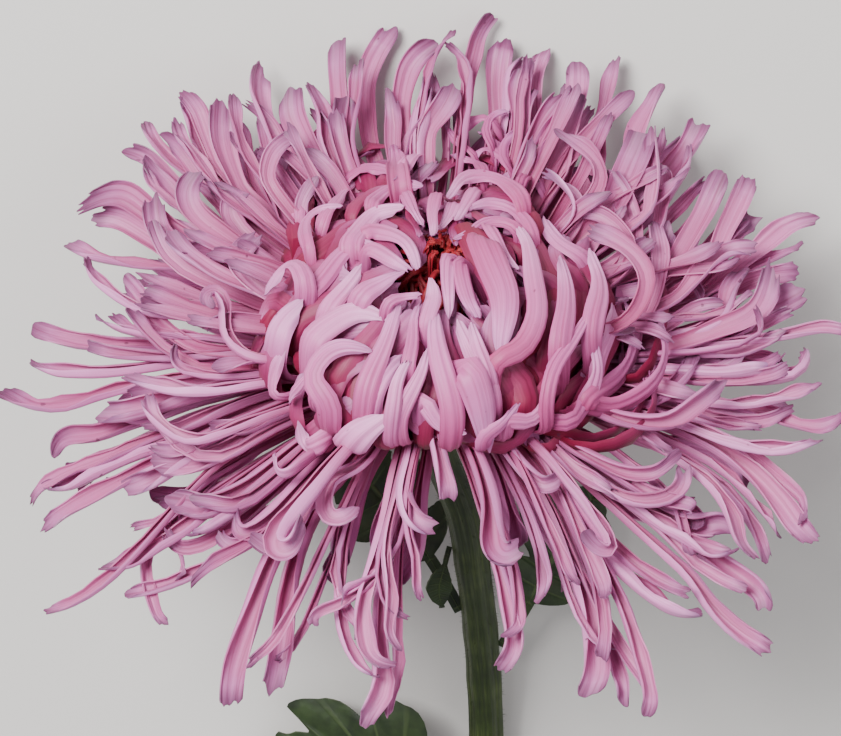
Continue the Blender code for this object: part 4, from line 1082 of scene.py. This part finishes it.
def bend_petal(blank, line, width, face_of, widths, roll, look):
    """A copy of the blank, rolled and bent along a centre line, with its own small irregularities."""
    fine = np.array([pressed(point, LOWEST_LINE) for point in smooth_line(line)])
    tangents, sides, uppers = frames_along(fine, face_of)
    travelled = travelled_to(fine)
    slender = 0.5 * width / travelled[-1]
    u, v = blank_places(blank)
    # The rows stand closer in the last stretch, where the tip is shaped
    start = 1.0 - min(0.5, 4.0 * slender)
    end = 1.0 - slender * tip_edge(u, look)
    near_tip = start + (end - start) * (v - BODY_ROWS) / (1.0 - BODY_ROWS)
    share = np.where(v < BODY_ROWS, start * v / BODY_ROWS, near_tip)
    # The sheet's section is an arc, closed to a tube or opened to a spoon, with shallow ribs
    opened = np.clip(share + look["open"] * 2.0 * share * (1.0 - share), 0.0, 1.0)
    late = np.clip(2.0 * share - 0.8, 0.0, 1.0)
    early = np.clip(share * 3.0, 0.0, 1.0)
    half_angle = np.radians(eased(roll, opened) + look["pinch"] * late * late)
    wide = width * eased(widths, share) * (1.0 + (look["flare"] - 1.0) * late * late)
    radius = 0.5 * wide / np.where(half_angle < 0.5 * math.pi, np.sin(half_angle), 1.0)
    over = radius * np.sin(u * half_angle)
    up = radius * (1.0 - np.cos(u * half_angle)) - 0.5 * radius * (1.0 - np.cos(half_angle))
    up = look["depth"] * up - look["ribs"] * np.cos(3.0 * math.pi * u) * early
    # The tip curls, its corners turn down, and its edges are ruffled
    tip = np.clip((share - 1.0 + 4.5 * slender) / (4.5 * slender), 0.0, 1.0)
    up += look["curl"] * tip * tip + look["stagger"]
    up -= look["horns"] * tip * tip * np.abs(u) ** 3
    ripple = np.sin(2.0 * math.pi * (share / (7.0 * slender) + look["phase"]) + 1.5 * np.sign(u))
    up += look["ruffle"] * late * u * u * ripple
    over *= 1.0 + 0.05 * ripple * early
    over += look["sway"] * np.sin(2.0 * math.pi * (1.3 * share + look["phase"])) * share
    over += look["hook"] * tip * tip
    twist = look["turn"] + look["twist"] * np.clip((share - 0.35) / 0.65, 0.0, 1.0) ** 1.5
    turned_over = (over * np.cos(twist) - up * np.sin(twist))[:, None]
    turned_up = (over * np.sin(twist) + up * np.cos(twist))[:, None]
    reach = travelled / travelled[-1]
    middle, side, upper = (read_at(share, reach, rows) for rows in (fine, sides, uppers))
    at = to_world(middle + side * turned_over + upper * turned_up)
    at[:, 2] = np.maximum(at[:, 2], LOWEST_PETAL)
    petal = shaped(blank, "petal", at)
    for name in ("tone", "flush"):
        values = petal.data.attributes.new(name, "FLOAT", "POINT")
        values.data.foreach_set("value", np.full(len(at), look[name], np.float32))
    return petal


def petal_look(draw, tone, flush, curl, twist, opening):
    """The small differences between one petal and the next. Widths are in half widths of the petal."""
    return {
        "tone": min(1.0, max(0.0, tone + draw.uniform(-0.32, 0.32))),
        "flush": min(1.0, max(0.0, flush + draw.uniform(-0.15, 0.15))),
        "curl": draw.uniform(-0.25, 1.0) * curl,
        "hook": draw.gauss(0.0, 0.5) * curl,
        "stagger": 0.0,
        "turn": draw.gauss(0.0, 0.7 * twist),
        "twist": draw.gauss(0.0, twist),
        "open": draw.uniform(-0.5, 1.0) * opening,
        "depth": draw.uniform(0.62, 0.95),
        "ribs": draw.uniform(0.00006, 0.00016),
        "round": draw.uniform(0.6, 1.9),
        "pointed": draw.choice((0.0, 0.3, 0.6, 1.0)),
        "flare": draw.uniform(0.90, 1.45),
        "pinch": draw.choice((0.0, 0.0, 15.0, 40.0)),
        "horns": draw.choice((0.0, 0.0004, 0.0010, 0.0018)),
        "teeth": draw.choice((0.12, 0.30, 0.50, 0.80)),
        "tooth_count": draw.choice((2.0, 3.0, 3.0, 4.0)),
        "notch": draw.choice((0.0, 0.0, 0.4, 0.9)),
        "notch_at": draw.uniform(-0.6, 0.6),
        "slant": draw.uniform(-0.6, 0.6),
        "ruffle": draw.uniform(0.0001, 0.0006),
        "sway": draw.uniform(0.0, 0.0005),
        "phase": draw.random(),
    }


def join_up(name, items, thickness, finishes, node):
    """One finished piece from bent sheets: joined, given a thickness, and shaded smooth."""
    piece = joined(items, name)
    for finish in finishes:
        piece.data.materials.append(finish)
    wall = piece.modifiers.new("thickness", "SOLIDIFY")
    wall.thickness = thickness
    wall.offset = -1.0
    wall.material_offset = len(finishes) - 1
    wall.material_offset_rim = len(finishes) - 1
    wall.use_even_offset = False
    bpy.ops.object.modifier_apply(modifier=wall.name)
    settle(piece, 70.0, node)


def put_up(name, thing, across, up, back, place):
    """A lamp or a camera in the scene, by the directions of its own axes and its place."""
    item = bpy.data.objects.new(name, thing)
    bpy.context.scene.collection.objects.link(item)
    axes = np.identity(4)
    axes[:3] = np.array((across, up, back, place)).T
    item.matrix_world = Matrix(axes.tolist())
    return item


def settle(piece, crease, node):
    """Shades a piece smooth up to an angle, sets it on the root body, and hides the solid that it stands
    for.
    """
    select([piece])
    bpy.ops.object.shade_smooth_by_angle(angle=math.radians(crease))
    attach(piece, "root")
    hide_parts(node)


def make_petals(skins):
    """Every ray floret of the head, in pieces by where they stand."""
    fine_blank = flat_blank("fine_blank", *FINE_GRID)
    plain_blank = flat_blank("plain_blank", *PLAIN_GRID)
    draw = random.Random(SOLID_DRAWS)
    vary = random.Random(LOOK_DRAWS)
    outer = (whorl_face, OUTER_WIDTHS, OUTER_ROLL)
    back = (whorl_face, OUTER_WIDTHS, BACK_ROLL)
    incurved = (dome_face, INCURVED_WIDTHS, INCURVED_ROLL)
    groups = {"back": BACK_RAYS, "left": LEFT_RAYS, "front": FRONT_RAYS, "right": RIGHT_RAYS}
    petals = {name: [] for name in (*groups, "crown", "lower", "between", "second", "inner")}
    for name, rays in groups.items():
        for width, *pixels in rays:
            line = outer_line(pixels, draw)
            shape = back if pixels[0][1] < OPEN_ABOVE else outer
            look = petal_look(vary, *LOOKS["outer"])
            if name == "back":
                look.update({"teeth": 0.4 * look["teeth"], "horns": 0.0, "pinch": 0.0})
            petals[name].append(bend_petal(fine_blank, line, width * PIXEL, *shape, look))
    for width, *pixels in INCURVED_RAYS:
        line = incurved_line(pixels, draw)
        look = petal_look(vary, *LOOKS["incurved"])
        look["stagger"] = vary.uniform(-0.0011, 0.0009)
        look.update({"pointed": vary.uniform(0.4, 1.0), "flare": vary.uniform(0.92, 1.08)})
        look.update({"depth": vary.uniform(0.55, 0.80), "notch": vary.choice((0.0, 0.0, 0.3))})
        look.update({"ribs": vary.uniform(0.00008, 0.00015), "teeth": vary.uniform(0.0, 0.22)})
        look.update({"slant": vary.uniform(-0.3, 0.3), "sway": vary.uniform(0.0002, 0.0008)})
        look.update({"pinch": 0.0, "horns": 0.0})
        petals["crown"].append(bend_petal(fine_blank, line, width * PIXEL, *incurved, look))
    for index in range(HIDDEN_RAYS):
        line = hidden_line(index, draw)
        look = petal_look(vary, *LOOKS["hidden"])
        petals["lower"].append(bend_petal(plain_blank, line, HIDDEN_WIDTH, *outer, look))
    for width, *pixels in EXTRA_OUTER:
        line = outer_line(pixels, vary)
        look = petal_look(vary, *LOOKS["extra_outer"])
        petals["between"].append(bend_petal(fine_blank, line, width * PIXEL, *outer, look))
    for width, *pixels in EXTRA_INCURVED:
        line = incurved_line(pixels, vary)
        look = petal_look(vary, *LOOKS["extra_incurved"])
        if pixels[0][1] < DEEP_ABOVE:
            look.update({"tone": 0.1, "flush": 0.9})
        petals["crown"].append(bend_petal(fine_blank, line, width * PIXEL, *incurved, look))
    for depth, *shrinks in INNER_COMPANIONS:
        for width, *pixels in INCURVED_RAYS:
            turned = beside(pixels, DOME_PIXEL, shrinks, (8.0, 15.0), vary)
            line = [point - depth * SIGHT for point in incurved_line(turned, vary)]
            look = petal_look(vary, *LOOKS["companion"])
            look.update({"pointed": vary.uniform(0.4, 1.0), "pinch": 0.0, "depth": 0.7, "ribs": 0.00006})
            # A strong crimson root: painted shade of the gaps between the incurved rays
            look.update({"flush": 1.15, "teeth": 0.1, "slant": 0.0})
            petals["inner"].append(bend_petal(plain_blank, line, SLIMMER * width * PIXEL, *incurved, look))
    for index in range(FILL_RAYS):
        if not FILL_BACK < math.sin(index * GOLDEN_ANGLE) < FILL_FRONT:
            continue
        line = fill_line(index, vary)
        look = petal_look(vary, *LOOKS["fill"])
        look.update({"pointed": vary.uniform(0.5, 1.0), "flare": vary.uniform(0.75, 1.0)})
        petals["between"].append(bend_petal(plain_blank, line, vary.uniform(*FILL_SIZES), *back, look))
    for width, *pixels in sum(groups.values(), []):
        if math.dist(pixels[0], RECEPTACLE_PIXEL) < HOOKED_WITHIN:
            continue
        turned = beside(pixels, RECEPTACLE_PIXEL, (0.74, 0.97), (2.0, 6.0), vary)
        line = [point - SECOND_BEHIND * SIGHT for point in outer_line(turned, vary)]
        look = petal_look(vary, *LOOKS["second"])
        look.update({"flare": vary.uniform(0.75, 1.10), "sway": vary.uniform(0.0004, 0.0014)})
        shape = back if pixels[0][1] < OPEN_ABOVE else outer
        petals["second"].append(bend_petal(plain_blank, line, SLIMMER * width * PIXEL, *shape, look))
    for index in range(INNER_RAYS):
        line = inner_line(index, vary)
        look = petal_look(vary, *LOOKS["inner"])
        # A strong crimson root: painted shade deep in the dome
        look.update({"flush": 1.6, "teeth": 0.1, "slant": 0.0})
        petals["inner"].append(bend_petal(plain_blank, line, vary.uniform(*INNER_SIZES), *incurved, look))
    for name, items in petals.items():
        kind = {"crown": "incurved", "inner": "inner"}.get(name, "outer")
        pair = [skins[kind + side] for side in ("_ligule_back", "_ligule_face")]
        join_up("petals_" + name, items, PETAL_THICKNESS, pair, "bloom")


def make_heart(finish):
    """The young florets of the middle: thin tubes, hooked over one another."""
    blank = flat_blank("young_blank", *TUBE_GRID)
    draw = random.Random(HEART_DRAWS)
    florets = []
    for index in range(YOUNG_FLORETS):
        look = petal_look(draw, *LOOKS["young"])
        look["ribs"] = 0.0
        width = draw.uniform(0.0006, 0.0010)
        line = young_line(index, draw)
        florets.append(bend_petal(blank, line, width, inward_face, TUBE_WIDTHS, TUBE_ROLL, look))
    join_up("young_florets", florets, FLORET_THICKNESS, (finish,), "heart")


def turned_solid(name, outline, blank, finish):
    """The blank wrapped round the flower's axis: an outline of (distance from it, height), with both
    ends on the axis."""
    u, v = blank_places(blank)
    outline = np.array(outline)
    travelled = travelled_to(outline)
    reach, height = read_at(v * travelled[-1], travelled, outline).T
    angle = math.pi * u
    around = np.stack([reach * np.cos(angle), reach * np.sin(angle), height], axis=1)
    item = shaped(blank, name, to_world(around))
    item.data.materials.append(finish)
    close_up(item)
    return item


def close_up(item):
    """Merges the seam and the poles of a wrapped sheet, and turns its faces outwards."""
    select([item])
    bpy.ops.object.mode_set(mode="EDIT")
    bpy.ops.mesh.select_all(action="SELECT")
    bpy.ops.mesh.remove_doubles(threshold=0.00001)
    bpy.ops.mesh.normals_make_consistent(inside=False)
    bpy.ops.object.mode_set(mode="OBJECT")


def make_receptacle(finish):
    """The knob under the florets, hidden but for glimpses between their roots."""
    blank = flat_blank("turned_blank", *KNOB_GRID)
    settle(turned_solid("receptacle", KNOB_SIDE, blank, finish), 60.0, "bloom")


def make_involucre(finish):
    """The cup under the head: a turned cup inside three rows of pointed bracts with papery edges."""
    blank = flat_blank("cup_blank", *CUP_GRID)
    settle(turned_solid("bract_cup", CUP_SIDE, blank, finish), 60.0, "involucre")
    blank = flat_blank("bract_blank", *BRACT_GRID)
    draw = random.Random(BRACT_DRAWS)
    bracts = []
    for row, (count, *section) in enumerate(BRACT_ROWS):
        for index in range(count):
            bearing = 2.0 * math.pi * (index + 0.5 * row + draw.uniform(-0.12, 0.12)) / count
            lift = draw.uniform(-0.0002, 0.0003)
            line = [polar(reach, bearing, height + lift) for reach, height in section]
            look = petal_look(draw, *LOOKS["bract"])
            look.update({"round": 1.4, "teeth": 0.0, "notch": 0.0, "ruffle": 0.00012})
            look.update({"slant": 0.0, "pinch": 0.0, "horns": 0.0, "flare": 1.0})
            width = BRACT_WIDTH * draw.uniform(0.88, 1.08)
            bracts.append(bend_petal(blank, line, width, upward_face, BRACT_WIDTHS, BRACT_ROLL, look))
    join_up("bract_rows", bracts, BRACT_THICKNESS, (finish,), "involucre")


def carried_frames(fine):
    """Tangents and sides along a line, the side carried along without twisting."""
    tangents = unit(np.gradient(fine, axis=0))
    side = np.cross(tangents[0], (1.0, 0.0, 0.0))
    sides = []
    for tangent in tangents:
        side = unit(side - tangent * np.dot(side, tangent))
        sides.append(side)
    sides = np.array(sides)
    return sides, np.cross(tangents, sides)


def make_stem(skin, pith):
    """The cut stem: a ribbed round bar from under the cup down to the surface, with a pale cut end."""
    blank = flat_blank("stem_blank", *STEM_GRID)
    u, v = blank_places(blank)
    neck = [to_world((0.0, 0.0, CUP_BOTTOM - GAP - drop)) for drop in (0.0, 0.004, 0.008)]
    fine = smooth_line(neck + [at_height(place) for place in STEM_ROUTE])
    sides, ups = carried_frames(fine)
    # The first and last rows close the ends; the rest run along the stem
    reach = np.clip((v - 0.02) / 0.94, 0.0, 1.0)
    closing = np.interp(v, (0.0, 0.02, 0.952, PITH_FROM, 1.0), (0.0, 1.0, 1.0, 0.97, 0.0))
    angle = math.pi * u
    ribs = 1.0 - STEM_GROOVE * (0.5 - 0.5 * np.cos(STEM_RIBS * angle))
    ribs = ribs + 0.012 * np.cos(3 * STEM_RIBS * angle)
    knots = sum(np.exp(-(((reach - knot) / 0.018) ** 2)) for knot in STEM_KNOTS)
    radius = STEM_RADIUS * (0.94 + 0.10 * reach) * ribs * (1.0 + 0.045 * knots) * closing
    angle = angle + 0.25 * np.sin(5.0 * reach)
    where = np.linspace(0.0, 1.0, len(fine))
    middle, side, up = (read_at(reach, where, rows) for rows in (fine, sides, ups))
    at = middle + side * (radius * np.cos(angle))[:, None]
    at += up * (radius * np.sin(angle))[:, None]
    at[:, 2] = np.maximum(at[:, 2], 0.0)
    piece = shaped(blank, "ribbed_stem", at)
    piece.data.materials.append(skin)
    piece.data.materials.append(pith)
    rows = piece.data.uv_layers.active.data
    for face in piece.data.polygons:
        lowest = min(rows[corner].uv[1] for corner in face.loop_indices)
        face.material_index = 1 if lowest > PITH_FROM - 0.0005 else 0
    close_up(piece)
    settle(piece, 50.0, "stem")
    return fine, sides, ups


def make_hairs(finish, fine, sides, ups):
    """Short soft hairs that stand out from the stem's upper sides."""
    select(())
    bpy.ops.mesh.primitive_cone_add(
        vertices=3, radius1=HAIR_RADIUS, radius2=0.0, depth=HAIR_LENGTH, end_fill_type="NOTHING"
    )
    pattern = bpy.context.object
    pattern.name = "hair_blank"
    shape = np.array([vertex.co[:] for vertex in pattern.data.vertices])
    draw = random.Random(HAIR_DRAWS)
    hairs = []
    for _ in range(STEM_HAIRS):
        reach = draw.uniform(0.03, 0.97)
        angle = draw.uniform(-math.pi, math.pi)
        index = min(len(fine) - 2, int(reach * (len(fine) - 1)))
        out = sides[index] * math.cos(angle) + ups[index] * math.sin(angle)
        step = fine[index + 1] - fine[index]
        down = unit(step)
        lean = unit(out + down * draw.uniform(-0.5, 0.5))
        foot = fine[index] + out * STEM_RADIUS * 0.90 + step * draw.random()
        side = unit(np.cross(lean, down))
        length = draw.uniform(0.7, 1.2)
        places = shape[:, :1] * side + shape[:, 1:2] * np.cross(side, lean)
        places = foot + places + (shape[:, 2:] + 0.5 * HAIR_LENGTH) * length * lean
        if places[:, 2].min() > 0.0002:
            hairs.append(shaped(pattern, "hair", places))
    piece = joined(hairs, "stem_hairs")
    piece.data.materials.append(finish)
    settle(piece, 60.0, "stem")


def make_leaf(node, leaf_rows, upper, under, blank):
    """A lobed leaf on its stalk, along the same midrib as its solid, toothed and quilted between veins."""
    half_width, cup, *midrib = LEAVES[node]
    line = [at_height(place) for place in midrib]
    line[0] = line[0] + STALK_SUNK * unit(line[0] - line[1])
    fine = smooth_line(line)
    where = np.linspace(0.0, 1.0, len(fine))
    feet, edges, widths = (np.array(column) for column in zip(*leaf_rows))
    u, v = blank_places(blank)
    aside = np.abs(u)
    width = np.interp(v, feet, widths)
    # The small leaf's blade starts nearer the stem, and has no teeth
    is_small = leaf_rows is SMALL_LEAF_ROWS
    blade = np.clip((v - 0.20) / 0.1 if is_small else (v - 0.30) / 0.06, 0.0, 1.0)
    teeth = (0.0 if is_small else 0.10) * blade * np.abs(((v * 17.0) % 1.0) - 0.5) * (width > 0.05)
    share = v * (1.0 - aside) + np.interp(v, feet, edges) * aside
    side = unit(np.cross(np.gradient(fine, axis=0), (0.0, 0.0, 1.0)))
    stalk = min(STALK_HALF_WIDTH, 0.2 * half_width) * np.clip((1.0 - v) * 12.0, 0.0, 1.0)
    stalk *= np.clip((0.75 - v) * 8.0, 0.0, 1.0)
    reach = np.minimum(np.maximum((width + teeth) * half_width, stalk), half_width)
    at = read_at(share, where, fine) + read_at(share, where, side) * (u * reach)[:, None]
    at[:, 2] += cup * (aside * reach / half_width) ** 2
    quilt = np.abs(np.sin(35.0 * v)) * np.sin(math.pi * np.clip(aside, 0.0, 1.0))
    at[:, 2] += half_width * (0.038 * quilt - 0.028 * np.exp(-((aside / 0.07) ** 2))) * blade
    at[:, 2] = np.maximum(at[:, 2], LOWEST_LEAF)
    sheet = shaped(blank, node + "_sheet", at)
    if sum(face.normal.z for face in sheet.data.polygons) < 0.0:
        select([sheet])
        bpy.ops.object.mode_set(mode="EDIT")
        bpy.ops.mesh.select_all(action="SELECT")
        bpy.ops.mesh.flip_normals()
        bpy.ops.object.mode_set(mode="OBJECT")
    join_up(node + "_blade", [sheet], LEAF_THICKNESS, (upper, under), node)


def main():
    """Every piece, each round the solid that it stands for."""
    skins = {name: petal_finish(name, *skin) for name, skin in PETAL_SKINS.items()}
    make_petals(skins)
    make_heart(skins["young_floret_skin"])
    make_receptacle(receptacle_finish())
    make_involucre(bract_finish())
    skin = stem_finish()
    make_hairs(skin, *make_stem(skin, pith_finish()))
    upper = leaf_finish("leaf_upper_skin", "#17220e", "#2a3a1a", "#41502a")
    under = leaf_finish("leaf_under_skin", "#2f3d22", "#45532f", "#5c6842")
    blank = flat_blank("leaf_blank", *LEAF_GRID)
    for node in LEAVES:
        make_leaf(node, SMALL_LEAF_ROWS if node == "leaf_small" else LEAF_ROWS, upper, under, blank)
    for item in list(bpy.data.objects):
        if item.name.endswith("_blank"):
            bpy.data.objects.remove(item, do_unlink=True)


def make_stage():
    """A plain pale surface and soft light from the picture's upper left."""
    select(())
    bpy.ops.mesh.primitive_plane_add(size=4.0, location=(0.0, 0.0, 0.0))
    floor = bpy.context.object
    floor.name = "floor"
    board, _ = new_finish("matt_pale_board", {"Roughness": 0.85, "Base Color": plain_colour("#cdcac6")})
    floor.data.materials.append(board)
    world = bpy.data.worlds.new("soft_room")
    bpy.context.scene.world = world
    world.use_nodes = True
    sky = world.node_tree.nodes["Background"]
    sky.inputs["Color"].default_value = plain_colour("#e9ebf0")
    sky.inputs["Strength"].default_value = 0.55
    for name, place, size, energy in LAMPS:
        light = bpy.data.lights.new(name, "AREA")
        light.size = size
        light.energy = energy
        away = unit(np.array(place) - RECEPTACLE_AT)
        across = unit(np.cross((0.0, 0.0, 1.0), away))
        put_up(name, light, across, np.cross(away, across), away, place)


def make_camera():
    """Where the photograph was taken from: above the lying flower's face, with the stem at the foot."""
    camera = bpy.data.cameras.new("camera")
    camera.sensor_width = 36.0
    camera.lens = camera.sensor_width * VIEWING_DISTANCE / (FRAME_WIDTH * PIXEL)
    camera.clip_start = 0.01
    towards = SIGHT @ FLOWER_TO_WORLD
    up = math.sin(SIGHT_TO_AXIS) * AXIS - math.cos(SIGHT_TO_AXIS) * FRONT
    middle = RECEPTACLE_AT + (FRAME_CENTRE[0] - RECEPTACLE_PIXEL[0]) * PIXEL * RIGHT
    place = middle + VIEWING_DISTANCE * towards
    bpy.context.scene.camera = put_up("camera", camera, RIGHT, up, towards, place)


make_camera()
make_stage()
main()
